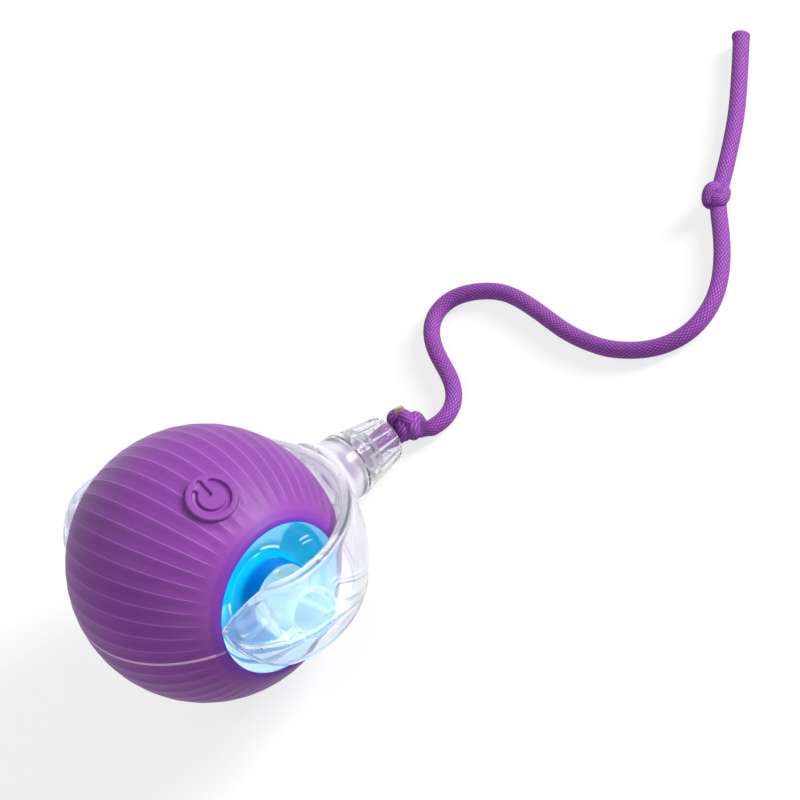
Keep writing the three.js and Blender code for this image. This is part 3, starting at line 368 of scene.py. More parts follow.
class Level:
    """A number that varies over a surface. Operators add the Math nodes."""

    def __init__(self, nodes, socket):
        self.nodes, self.socket = nodes, socket

    def math(self, operation, *others):
        return self.nodes.math(operation, self, *others)

    def __add__(self, other):
        return self.math("ADD", other)

    def __sub__(self, other):
        return self.math("SUBTRACT", other)

    def __rsub__(self, other):
        return self.nodes.math("SUBTRACT", other, self)

    def __mul__(self, other):
        return self.math("MULTIPLY", other)

    def __truediv__(self, other):
        return self.math("DIVIDE", other)

    def __pow__(self, other):
        return self.math("POWER", other)

    def ramp(self, low, high, from_value=0.0, to_value=1.0):
        """Smooth step from from_value at low to to_value at high."""
        return self.nodes.level("ShaderNodeMapRange", {"interpolation_type": "SMOOTHSTEP"},
                                {"Value": self, "From Min": low, "From Max": high,
                                 "To Min": from_value, "To Max": to_value}, "Result")


class Nodes:
    """Makes and links the nodes of one tree."""

    def __init__(self, tree):
        self.tree = tree

    def feed(self, socket, value):
        """Links or sets a socket."""
        if isinstance(value, Level):
            value = value.socket
        if isinstance(value, bpy.types.NodeSocket):
            self.tree.links.new(value, socket)
        elif socket.type == "RGBA":
            socket.default_value = (*tuple(value)[:3], 1.0)
        else:
            socket.default_value = value

    def node(self, kind, settings=None, inputs=None):
        """Any node: its settings come first, then the values or links of its sockets."""
        made = self.tree.nodes.new(kind)
        for key, value in (settings or {}).items():
            setattr(made, key, value)
        for key, value in (inputs or {}).items():
            self.feed(made.inputs[key], value)
        return made

    def level(self, kind, settings, inputs, output):
        """One output of a new node, as a number."""
        return Level(self, self.node(kind, settings, inputs).outputs[output])

    def math(self, operation, *values):
        return self.level("ShaderNodeMath", {"operation": operation}, dict(enumerate(values)), 0)

    def seen(self):
        """1 for rays from the camera, from gloss and through glass, 0 for the rest."""
        path = self.node("ShaderNodeLightPath")
        camera, glossy, through = (Level(self, path.outputs[f"Is {word} Ray"])
                                   for word in ("Camera", "Glossy", "Transmission"))
        return camera.math("MAXIMUM", glossy).math("MAXIMUM", through)


class Finish(Nodes):
    """A material of nodes, built round one Principled shader."""

    def __init__(self, name, **plain):
        self.material = bpy.data.materials.new(name)
        self.material.use_nodes = True
        super().__init__(self.material.node_tree)
        self.shader = self.tree.nodes["Principled BSDF"]
        self.set(**plain)

    def set(self, **values):
        """Sets the shader's own sockets; a name's underscores are spaces."""
        for name, value in values.items():
            self.feed(self.shader.inputs[name.replace("_", " ")], value)

    def place(self):
        """Object coordinates in millimetres, as three numbers."""
        vector = self.node("ShaderNodeTexCoord").outputs["Object"]
        split = self.node("ShaderNodeSeparateXYZ", None, {0: vector})
        return [Level(self, split.outputs[i]) / MM for i in range(3)]

    def about_hub(self):
        """Offset from the hub axis along X, place along Y, offset along Z, and distance from the axis."""
        x, y, z = self.place()
        dx, dz = x - float(BALL_CENTRE[0]), z - float(BALL_CENTRE[2])
        return dx, y, dz, (dx * dx + dz * dz).math("SQRT")

    def lay(self):
        """The piece's own UV map as two numbers."""
        vector = self.node("ShaderNodeUVMap", {"uv_map": "Lay"}).outputs["UV"]
        split = self.node("ShaderNodeSeparateXYZ", None, {0: vector})
        return Level(self, split.outputs[0]), Level(self, split.outputs[1])

    def noise(self, per_metre, detail=2.0, roughness=0.5, stretch=None):
        """Noise of that many cells per metre, finer along an axis that is stretched."""
        vector = self.node("ShaderNodeTexCoord").outputs["Object"]
        if stretch is not None:
            vector = self.node("ShaderNodeVectorMath", {"operation": "MULTIPLY"},
                               {0: vector, 1: stretch}).outputs["Vector"]
        inputs = {"Vector": vector, "Scale": per_metre, "Detail": detail, "Roughness": roughness}
        return self.level("ShaderNodeTexNoise", None, inputs, "Fac")

    def mix(self, factor, first, second):
        """Colour between two others."""
        inputs = {"Factor": factor, 6: first, 7: second}
        return self.node("ShaderNodeMix", {"data_type": "RGBA"}, inputs).outputs[2]

    def layered(self, shade, *layers):
        """A colour with others laid over it, each by its own factor."""
        for factor, tint in layers:
            shade = self.mix(factor, shade, tint)
        return shade

    def bump(self, height, strength, distance):
        inputs = {"Height": height, "Strength": strength, "Distance": distance}
        return self.node("ShaderNodeBump", None, inputs).outputs["Normal"]


def silicone_finish(name, sizes, ribs=0):
    """Matte silicone: soft blotches and faint dust. With ribs, each hollow is the sine squared of pi t deep, with
    t the share of a rib's pitch from its crest. The hollows darken with painted shade, the crests and the parting
    seam lighten with painted highlights, and the smooth lip has a darker band of painted shade and painted blue
    light from the lit dish inside it."""
    finish = Finish(name, Roughness=0.5, Sheen_Weight=0.22, Sheen_Roughness=0.4,
                    Sheen_Tint=painted(226, 214, 240), Specular_IOR_Level=0.33)
    base = sizes.silicone
    blotch, dust = finish.noise(90.0, 3.0), finish.noise(2600.0, 2.0, 0.6)
    shade = finish.mix(blotch.ramp(0.35, 0.7), base, dimmed(base, 0.88))
    relief = dust * 0.02
    if ribs:
        dx, y, dz, reach = finish.about_hub()
        angle = finish.math("ARCTAN2", dz, dx)
        off_crest = ((angle + (BALL_TURN + math.pi)) * (ribs / (2 * math.pi))).math("PINGPONG", 0.5)
        on_ribs = y.math("ABSOLUTE").ramp(18.3, 15.5)
        # near_crest marks the crests, which take a small bump and a painted highlight in the crest colour
        near_crest = off_crest.ramp(0.075, 0.02) * on_ribs
        # hollow: depth between two crests, used for the bump and for painted shade that darkens the hollows
        hollow = (off_crest * math.pi).math("SINE") ** 2 * on_ribs
        # The parting seam: a small raised bump, and a pale painted highlight along it
        seam_and_highlight = (dz * math.cos(BALL_TURN) + dx * math.sin(BALL_TURN)).math("ABSOLUTE").ramp(0.34, 0.2)
        lit_side = (angle - math.radians(100)).math("COSINE").ramp(-0.3, 0.7)
        shade = finish.layered(
            shade, (hollow * 0.36, dimmed(base, 0.62)), (near_crest * 0.36, sizes.crest),
            # Next: the seam's painted highlight, then a darker band of painted shade on the rolled lip
            (seam_and_highlight * 0.9, painted(232, 190, 242)), (reach.ramp(15.7, 15.1) * 0.62, painted(112, 40, 160)),
            # Painted blue light from the lit dish on the lip's inner edge, stronger on the side given by lit_side
            (reach.ramp(14.3, 13.7) * (lit_side * 0.75 + 0.1), painted(62, 54, 196)))
        relief = relief - hollow * 0.3 + near_crest * 0.2 + seam_and_highlight * 0.4
    finish.set(Base_Color=shade, Roughness=dust.ramp(0.2, 0.8, 0.46, 0.56),
               Normal=finish.bump(relief, 0.55, 0.0004))
    return finish.material


def clear_body(finish, tint):
    """Sets faint flow marks as the bump of clear plastic. Gives its shade and a level for its uneven polish."""
    flow = finish.noise(60.0, 2.0, 0.5, (1.0, 1.0, 3.0))
    finish.set(Normal=finish.bump(flow, 0.15, 0.0002))
    return finish.mix(flow.ramp(0.3, 0.7), tint, dimmed(tint, 0.97)), finish.noise(700.0, 2.0)


def clear_finish(name, tint, through=0.84, glow=0.0):
    """Clear moulded plastic with a trace of milk and, where it glows, blue light near the hubs."""
    finish = Finish(name, Transmission_Weight=through, IOR=1.38, Emission_Strength=glow)
    shade, polish = clear_body(finish, tint)
    finish.set(Base_Color=shade, Roughness=polish.ramp(0.3, 0.8, 0.03, 0.075))
    if glow:
        _, y, _, from_hub = finish.about_hub()
        lit = from_hub.ramp(16.5, 8.0) * y.math("ABSOLUTE").ramp(31.0, 24.0)
        finish.set(Emission_Color=finish.mix(lit, BLACK, LIT_BLUE))
    return finish.material


def harness_finish(name, sizes):
    """Clear moulded plastic with the lines that its arms show. Along and across are the harness's own axes in
    millimetres. The edge is where the cube root of past cubed + across cubed is 1, both over the half width and
    past counted from the tip's start; just inside the edge lie a dark line of painted shade and, further in, a
    painted highlight. Each line drops evenly along part of its run, and is a dark line of painted shade with a
    painted highlight of white glow beside it; the struts in the tips take the same painted highlight. The lit
    part of an arm glows blue and the neck and the far arm glow a little grey, all of it painted light."""
    finish = Finish(name, Transmission_Weight=0.84, IOR=1.38, Emission_Strength=0.5)
    shade, polish = clear_body(finish, sizes.clear)
    half = sizes.half_width / MM
    dx, y, dz, from_hub = finish.about_hub()
    along = dx * math.cos(NECK_TILT) - dz * math.sin(NECK_TILT)
    across = dx * math.sin(NECK_TILT) + dz * math.cos(NECK_TILT)
    arm = y.math("ABSOLUTE").ramp(13.0, 17.0)
    past = ((half - TIP_REACH - along).math("MAXIMUM", 0.0) / half) ** 3
    to_edge = (past + (across.math("ABSOLUTE") / half) ** 3) ** (1 / 3)
    # Just inside the edge: a dark line of painted shade, and a painted highlight of white glow further in
    dark = (to_edge - 0.955).math("ABSOLUTE").ramp(0.02, 0.008) * along.ramp(-9.0, 5.0, 0.25, 1.0)
    white = (to_edge - 0.9).math("ABSOLUTE").ramp(0.05, 0.015) * 0.5
    # Each line: dark painted shade, with a painted highlight of white glow beside it
    for start, level, drop, low, high, strength in HARNESS_LINES:
        share = ((along - low) / (high - low)).math("MAXIMUM", 0.0).math("MINIMUM", 1.0)
        off = across - level + share * drop
        run = along.ramp(start, start + 1.5) * strength
        dark = dark.math("MAXIMUM", off.math("ABSOLUTE").ramp(0.2, 0.07) * run)
        white = white.math("MAXIMUM", (off - 0.5).math("ABSOLUTE").ramp(0.45, 0.1) * run * 0.8)
    # The struts take the same painted highlight of white glow
    for (ax, ay), (bx, by) in HARNESS_STRUTS:
        long = math.hypot(bx - ax, by - ay)
        ux, uy = (bx - ax) / long, (by - ay) / long
        forth = (along - ax) * ux + (across - ay) * uy
        beside = (across - ay) * ux - (along - ax) * uy
        beyond = forth - forth.math("MAXIMUM", 0.0).math("MINIMUM", long)
        white = white.math("MAXIMUM", (beside * beside + beyond * beyond).math("SQRT").ramp(0.55, 0.2))
    lit = from_hub.ramp(11.5, 5.0) * across.ramp(-3.4, -1.6, 0.3, 1.0) * y.ramp(5.0, -5.0, 0.15, 1.0) * arm
    neck = along.ramp(20.0, 27.0) * along.ramp(34.6, 33.8)
    # Painted light: grey glow on the far arm and neck, blue glow where the dish lights the arm, white glow on the
    # painted highlights
    glow = finish.layered(
        BLACK, (y.ramp(6.0, 14.0).math("MAXIMUM", neck), painted(96, 92, 100)),
        (lit, dimmed(LIT_BLUE, 0.3)), (white * arm * (lit * 0.85 + 0.15), painted(226, 246, 252)))
    frosted = along.ramp(25.0, 30.0) * along.ramp(34.6, 33.6) * 0.16
    # The dark lines are painted shade in the base colour; the emission is painted light
    finish.set(Base_Color=finish.mix(dark * arm * 0.85, shade, painted(70, 92, 124)), Emission_Color=glow,
               Roughness=polish.ramp(0.3, 0.8, 0.025, 0.06) + frosted)
    return finish.material


def lit_finish(name, sizes):
    """Lit blue dish, its glow painted as emission of the same colours as its base: deep blue where its collar
    meets the cup and cyan further out. Turn is the angle from the last lamp in degrees. From each lamp on lies a
    pale field of painted light, soft at its start, that fades between 40 and 78 degrees, with a white streak of
    painted highlight at its inner side and two painted glints past its end. Low in the dish a blue band lies
    inside a white band of painted highlight, and a thin deep blue line of painted shade lies further out. The rim
    is pale all round with a painted highlight, most where it is low."""
    finish = Finish(name, Coat_Weight=0.12, Coat_Roughness=0.03, Specular_IOR_Level=0.22,
                    Emission_Strength=0.35)
    dx, y, dz, radius = finish.about_hub()
    angle = finish.math("ARCTAN2", dz, dx)
    turn = ((angle * (180 / math.pi) - LAMP_START + 720) / LAMP_PITCH).math("FRACT") * LAMP_PITCH
    low = (angle + math.radians(145)).math("COSINE").ramp(0.1, 0.7)
    high = 1 - low

    def near(level, place, outer, inner):
        return (level - place).math("ABSOLUTE").ramp(outer, inner)

    # Pale field of painted light from each lamp
    field = turn.ramp(0.0, 7.0) * turn.ramp(78.0, 40.0) * radius.ramp(7.8, 9.4) * radius.ramp(12.9, 12.0)
    # White streak: a painted highlight
    streak = turn.ramp(2.0, 4.0) * turn.ramp(38.0, 31.0) * high * near(radius, 7.75, 0.3, 0.12)
    # sparks: two painted glints past the end of each field
    sparks = near(turn, 100, 1.6, 0.6).math("MAXIMUM", near(turn, 94, 1.3, 0.5) * 0.8)
    shade = finish.layered(
        sizes.middle, (radius.ramp(9.2, 7.5) * y.math("ABSOLUTE").ramp(15.0, 17.4), sizes.deep),
        (field * high * 0.85, sizes.pale), (low * radius.ramp(11.0, 10.2) * 0.55, painted(30, 130, 214)),
        # A white band of painted highlight low in the dish
        (low * radius.ramp(10.8, 11.4) * 0.8, painted(226, 248, 252)),
        # A thin deep blue line of painted shade near the rim
        (low * near(radius, 12.35, 0.35, 0.1) * 0.7, sizes.deep),
        # Painted highlight round the rim, strongest where it is low
        (radius.ramp(12.8, 13.05) * (low * 0.5 + 0.4), painted(206, 240, 250)),
        # White painted highlights: the streak and the glints
        (streak.math("MAXIMUM", sparks * near(radius, 11.4, 0.9, 0.5)) * 0.9, painted(240, 252, 255)))
    finish.set(Base_Color=shade, Emission_Color=shade, Roughness=finish.noise(160.0).ramp(0.2, 0.8, 0.09, 0.16))
    return finish.material


def rope_finish(name, sizes, coarser=1.0):
    """Braid of two sets of crossing strands: with a = n(u+0.6v) and b = n(u-0.6v), a strand of the first set is
    on top where floor a + floor b is even, and each strand is rounded across as the sine of its share times
    pi."""
    finish = Finish(name, Roughness=0.62, Sheen_Weight=0.28, Sheen_Roughness=0.4,
                    Sheen_Tint=painted(220, 180, 235), Specular_IOR_Level=0.3)
    u, v = finish.lay()
    count = float(sizes.strands) / coarser
    a, b = (u + v * 0.6) * count, (u - v * 0.6) * count
    cell_a, cell_b = a.math("FLOOR"), b.math("FLOOR")
    share_a, share_b = a - cell_a, b - cell_b
    odd = ((cell_a + cell_b) * 0.5).math("FRACT") * 2.0
    round_a = (share_a * math.pi).math("SINE")
    round_b = (share_b * math.pi).math("SINE")
    top_a = round_a * (round_b * 0.45 + 0.55)
    top_b = round_b * (round_a * 0.45 + 0.55)
    height = top_a * (1 - odd) + top_b * odd
    threads_a = (share_a * (6 * math.pi)).math("COSINE")
    threads_b = (share_b * (6 * math.pi)).math("COSINE")
    threads = threads_a * (1 - odd) + threads_b * odd
    cell = finish.node("ShaderNodeCombineXYZ", None, {0: cell_a, 1: cell_b, 2: odd}).outputs[0]
    chance = finish.level("ShaderNodeTexWhiteNoise", {"noise_dimensions": "3D"}, {"Vector": cell}, "Value")
    fuzz = finish.noise(5000.0, 2.0, 0.7)
    # Painted shade in the gap colour where the strands dip, and a painted highlight in the shine colour on their
    # raised tops
    shade = finish.layered(sizes.gap, (height.ramp(0.1, 0.75), sizes.yarn),
                           (height.ramp(0.6, 1.0) * (chance * 0.5 + fuzz * 0.5), sizes.shine))
    relief = height + threads * 0.06 + fuzz * 0.08
    finish.set(Base_Color=shade, Roughness=fuzz.ramp(0.2, 0.8, 0.52, 0.74),
               Normal=finish.bump(relief, 0.6, 0.00014))
    return finish.material


def tip_finish(name, sizes):
    """Rope end: slanting strands, and past a ragged line the uneven beige of molten yarn."""
    finish = Finish(name, Specular_IOR_Level=0.3)
    uneven = finish.noise(1500.0, 3.0)
    u, v = finish.lay()
    melted = (v + uneven * 0.2).ramp(0.31, 0.37)
    beige = finish.mix(uneven.ramp(0.35, 0.65), painted(196, 178, 140), painted(110, 92, 50))
    strand = (((u + v * 0.6) * 9.0).math("FRACT") * math.pi).math("SINE")
    # The strands dip into painted shade in the gap colour between them
    braid = finish.mix(strand.ramp(0.1, 0.75), sizes.gap, sizes.yarn)
    finish.set(Base_Color=finish.mix(melted, braid, beige), Roughness=melted.ramp(0.0, 1.0, 0.75, 0.45),
               Normal=finish.bump(uneven + strand * (1 - melted), 0.5, 0.0002))
    return finish.material


def plastic_finish(name, base, roughness=0.5, grain=1500.0):
    """Moulded plastic: fine grain, faint flow marks."""
    finish = Finish(name, Specular_IOR_Level=0.5)
    fine, flow = finish.noise(grain, 3.0, 0.6), finish.noise(70.0, 2.0)
    finish.set(Base_Color=finish.mix(flow.ramp(0.3, 0.7), base, dimmed(base, 0.86)),
               Roughness=fine.ramp(0.2, 0.8, roughness - 0.08, roughness + 0.08),
               Normal=finish.bump(fine, 0.2, 0.00003))
    return finish.material


def metal_finish(name, base, roughness=0.35, stretch=(1.0, 12.0, 1.0)):
    """Metal with brushed lines along one way and slightly stained patches."""
    finish = Finish(name, Metallic=1.0)
    lines, stain = finish.noise(900.0, 3.0, 0.6, stretch), finish.noise(200.0, 2.0)
    finish.set(Base_Color=finish.mix(stain.ramp(0.35, 0.75), base, dimmed(base, 0.75)),
               Roughness=lines.ramp(0.2, 0.8, roughness - 0.1, roughness + 0.12),
               Normal=finish.bump(lines, 0.15, 0.00003))
    return finish.material


def board_finish(name):
    """Printed circuit board: solder mask with darker copper tracks under it."""
    finish = Finish(name, Roughness=0.35, Coat_Weight=0.3)
    y = finish.place()[1]
    tracks = (y * 1.4).math("PINGPONG", 1.0).ramp(0.55, 0.7) * finish.noise(220.0, 1.0).ramp(0.48, 0.54)
    finish.set(Base_Color=finish.mix(tracks, painted(24, 96, 52), painted(48, 140, 78)),
               Normal=finish.bump(tracks, 0.3, 0.00004))
    return finish.material


# ---------------------------------------------------------------- ropes

def spline(points, steps):
    """Centripetal Catmull-Rom curve through the points: each span blends the lines through its four points by
    the square roots of their distances; sampled at the same number of steps in each span."""
    p = np.asarray(points, float)
    p = np.concatenate([[2 * p[0] - p[1]], p, [2 * p[-1] - p[-2]]])
    gap = np.maximum(np.sqrt(np.linalg.norm(np.diff(p, axis=0), axis=1)), 1e-6)
    knot = np.concatenate([[0], np.cumsum(gap)])
    t0, t1, t2, t3 = (knot[i:len(knot) - 3 + i][:, None, None] for i in range(4))
    p0, p1, p2, p3 = (p[i:len(p) - 3 + i][:, None, :] for i in range(4))
    share = np.linspace(0, 1, steps, endpoint=False)[None, :, None]
    t = t1 + (t2 - t1) * share
    a1 = (t1 - t) / (t1 - t0) * p0 + (t - t0) / (t1 - t0) * p1
    a2 = (t2 - t) / (t2 - t1) * p1 + (t - t1) / (t2 - t1) * p2
    a3 = (t3 - t) / (t3 - t2) * p2 + (t - t2) / (t3 - t2) * p3
    b1 = (t2 - t) / (t2 - t0) * a1 + (t - t0) / (t2 - t0) * a2
    b2 = (t3 - t) / (t3 - t1) * a2 + (t - t1) / (t3 - t1) * a3
    curve = (t2 - t) / (t2 - t1) * b1 + (t - t1) / (t2 - t1) * b2
    return np.concatenate([curve.reshape(-1, 3), p[-2:-1]])


def strides(path):
    """Distances between the points of a path."""
    return np.linalg.norm(np.diff(path, axis=0), axis=1)


def run_along(path):
    """Distance of each point from the start, along the path."""
    return np.concatenate([[0], np.cumsum(strides(path))])


def evenly(path, spacing):
    """The same path with its points at even distances."""
    run = run_along(path)
    at = np.linspace(0, run[-1], max(3, int(round(run[-1] / spacing)) + 1))
    return np.stack([np.interp(at, run, path[:, i]) for i in range(3)], -1)


def eased(path, passes):
    """The same path with its bends eased: in each pass a point moves to the sum of half of itself and a quarter of
    each neighbour. The ends stay."""
    for _ in range(passes):
        path = np.concatenate([path[:1], (path[:-2] + 2 * path[1:-1] + path[2:]) / 4, path[-1:]])
    return path


def tube(path, radius, around, up=(0.0, 0.0, 1.0)):
    """Tube along a path: a ring of the given radius (one number, or one for each point) stands square to the
    path at each point, its first axis square to up. UV: share of the turn, length over circumference."""
    along = unit(np.gradient(path, axis=0))
    side = unit(np.cross(np.asarray(up, float), along))
    rise = np.cross(along, side)
    angle = np.linspace(0, 2 * math.pi, around + 1)
    size = np.broadcast_to(np.asarray(radius, float), len(path))[:, None, None]
    ring = side[:, None, :] * np.cos(angle)[:, None] + rise[:, None, :] * np.sin(angle)[:, None]
    u = np.broadcast_to(angle / (2 * math.pi), (len(path), around + 1))
    v = np.broadcast_to(run_along(path)[:, None] / (2 * math.pi * LAY_RADIUS), u.shape)
    return path[:, None, :] + ring * size, np.stack([u, v], -1)


def end_disc(grid, lay, first, bulge, steps=7):
    """Rounded end of a tube: its last ring shrinks as a quarter circle while it moves outwards by the bulge."""
    at, beside = (0, 1) if first else (-1, -2)
    ring = grid[at]
    middle = ring[:-1].mean(0)
    out = unit(middle - grid[beside][:-1].mean(0))
    angle = np.linspace(0, math.pi / 2, steps)[:, None, None]
    cap = middle + (ring - middle)[None] * np.cos(angle) + out * bulge * np.sin(angle)
    cap_lay = lay[at][None].repeat(steps, 0)
    cap_lay[..., 1] += np.linspace(0, 0.05, steps)[:, None] * (-1 if first else 1)
    return cap, cap_lay


def capped_tube(name, path, radius, around, start_bulge, end_bulge, **more):
    """Mesh of a tube with rounded ends."""
    grid, lay = tube(path, radius, around, **more)
    start, start_lay = end_disc(grid, lay, True, start_bulge)
    end, end_lay = end_disc(grid, lay, False, end_bulge)
    return mesh_from_grids(name, [grid, start[::-1], end], [lay, start_lay[::-1], end_lay], 60.0)


def trefoil(size, squeeze):
    """Trefoil: x = sin t + 2 sin 2t, y = cos t - 2 cos 2t, z = -sin 3t times the squeeze, all times a third of
    the size."""
    t = np.linspace(0, 2 * math.pi, 220)
    x, y = np.sin(t) + 2 * np.sin(2 * t), np.cos(t) - 2 * np.cos(2 * t)
    return np.stack([x, y, -np.sin(3 * t) * squeeze], -1) * size / 3


def show_tubes(name, tubes, finish, node):
    """Shows tubes of rope as one piece of the tail."""
    grids, lays = zip(*tubes)
    return show(name, mesh_from_grids(name, grids, lays, 60.0), finish, "tail", "rope", node)


# ---------------------------------------------------------------- operators

class CATBALL_OT_camera(bpy.types.Operator):
    """Camera at the picture's place"""
    bl_idname = "catball.camera"
    bl_label = "Camera"

    def execute(self, context):
        right = (0.54482, -0.68885, -0.47818)
        up = (0.80986, 0.28435, 0.5131)
        back = (-0.21748, -0.66681, 0.71279)
        data = bpy.data.cameras.new("camera")
        data.lens, data.sensor_width = 250.0, 36.0
        data.clip_start, data.clip_end = 0.05, 20.0
        camera = bpy.data.objects.new("camera", data)
        place = (np.array([-166.411, -650.605, 701.705]) + FLOOR_CONTACT) * MM
        camera.matrix_world = Matrix([[right[i], up[i], back[i], place[i]] for i in range(3)] + [[0, 0, 0, 1]])
        context.scene.collection.objects.link(camera)
        context.scene.camera = camera
        return {"FINISHED"}


class CATBALL_OT_rope(bpy.types.Operator):
    """Braided rope tail on the floor, in two stretches with a knot between them"""
    bl_idname = "catball.rope"
    bl_label = "Rope tail"

    def execute(self, context):
        sizes = context.scene.catball_rope
        radius = sizes.diameter / MM / 2
        finish = rope_finish("braided_rope", sizes)

        route = on_floor(spline([ROPE_INTO_NECK, *ROPE_ROUTE, ROPE_INTO_END], 12))
        route = evenly(eased(evenly(route, ROPE_SPACING), ROPE_EASING), ROPE_SPACING)
        taper = 0.55 + 0.45 * smooth(np.arange(len(route)) * ROPE_SPACING, 0.0, 2.5)
        mesh = capped_tube("rope_to_end_knot", route, radius * taper, 28, 0.6, 0.2)
        tail = show("rope_to_end_knot", mesh, finish, "tail", "rope", "tail_rope")
        end_knot = self.end_knot(finish)
        tuple(route[0] * MM)
        (route * MM).tolist()

        last = evenly(on_floor(spline([ROPE_FROM_END, *END_ROUTE], 12)), ROPE_SPACING)
        flare = radius * (1 + 0.1 * smooth(np.linspace(0, 1, len(last)), 0.95, 1.0))
        last[:, 2] += flare - radius
        mesh = capped_tube("rope_past_end_knot", last, flare, 28, 0.2, 0.12)
        end = show("rope_past_end_knot", mesh, finish, "tail", "rope", "tail_rope_end")
        tuple(last[0] * MM)
        (last * MM).tolist()
        return {"FINISHED"}

    def end_knot(self, finish):
        """Overhand knot: a trefoil of rope pulled tight round the line of the rope."""
        path = spun(spun(trefoil(1.42, 2.2), "Y", math.radians(75)), "Z", math.radians(30))
        path = on_floor(path + np.array(END_KNOT_PLACE))
        return show_tubes("knot_near_end", [tube(path, 1.3, 24, KNOT_UP)], finish, "end_knot")


class CATBALL_OT_neck_knot(bpy.types.Operator):
    """Rope in the cap, the knot against the cap and its short fused end"""
    bl_idname = "catball.neck_knot"
    bl_label = "Knot at the cap"

    def execute(self, context):
        sizes = context.scene.catball_rope
        finish = rope_finish("knotted_rope", sizes, 1.6)
        place = np.array(NECK_KNOT_PLACE)
        along = np.array([0.639, -0.741, -0.207])
        side = unit(np.cross(along, (0.0, 0.0, 1.0)))
        rise = np.cross(side, along)
        turn = np.linspace(0, 1, 180)[:, None]
        angle = 2 * math.pi * 2.6 * turn + 1.9
        reach = 1.35 * np.sin(math.pi * np.clip(turn, 0.02, 0.98)) ** 0.3
        wound = place + along * (4.4 * (turn - 0.42)) + reach * (side * np.cos(angle) + rise * np.sin(angle))
        bend = np.linspace(-0.25 * math.pi, 1.1 * math.pi, 60)[:, None]
        bight = np.cos(bend) * along + np.sin(bend) * (0.25, 0.4, 0.88)
        bight = place + np.array([0.3, 1.0, 1.1]) + 1.35 * bight
        tubes = [tube(on_floor(path), radius, 24, KNOT_UP) for path, radius in ((wound, 1.3), (bight, 1.12))]
        show_tubes("knot_at_cap", tubes, finish, "neck_knot")

        steps = np.linspace(0, 1, 30)
        spread = 0.8 + 0.2 * smooth(steps, 0.1, 0.85)
        tubes = []
        for start in (0.0, 2 * math.pi / 3, 4 * math.pi / 3):
            twist = start + 0.5 + 1.3 * steps
            path = np.stack([39.4 + 7.8 * steps, spread * np.cos(twist), spread * np.sin(twist)], -1)
            tubes.append(tube(on_harness(path), 1.1 + 0.32 * smooth(steps, 0.0, 0.6), 24))
        show_tubes("rope_in_cap", tubes, finish, "rope_strands")

        start, end = np.array([43.15, -4.0, 4.9]), np.array([43.85, -1.1, 5.85])
        path = on_floor(start + (end - start) * steps[:, None])
        path[:, 2] += 0.45 * np.sin(math.pi * steps)
        mesh = capped_tube("fused_rope_tip", path, 0.95 + 0.2 * steps, 20, 0.2, 0.35, up=(1, 0, 0))
        show("fused_rope_tip", mesh, tip_finish("fused_tip", sizes), "tail", "rope_tip", "knot_stub")
        return {"FINISHED"}


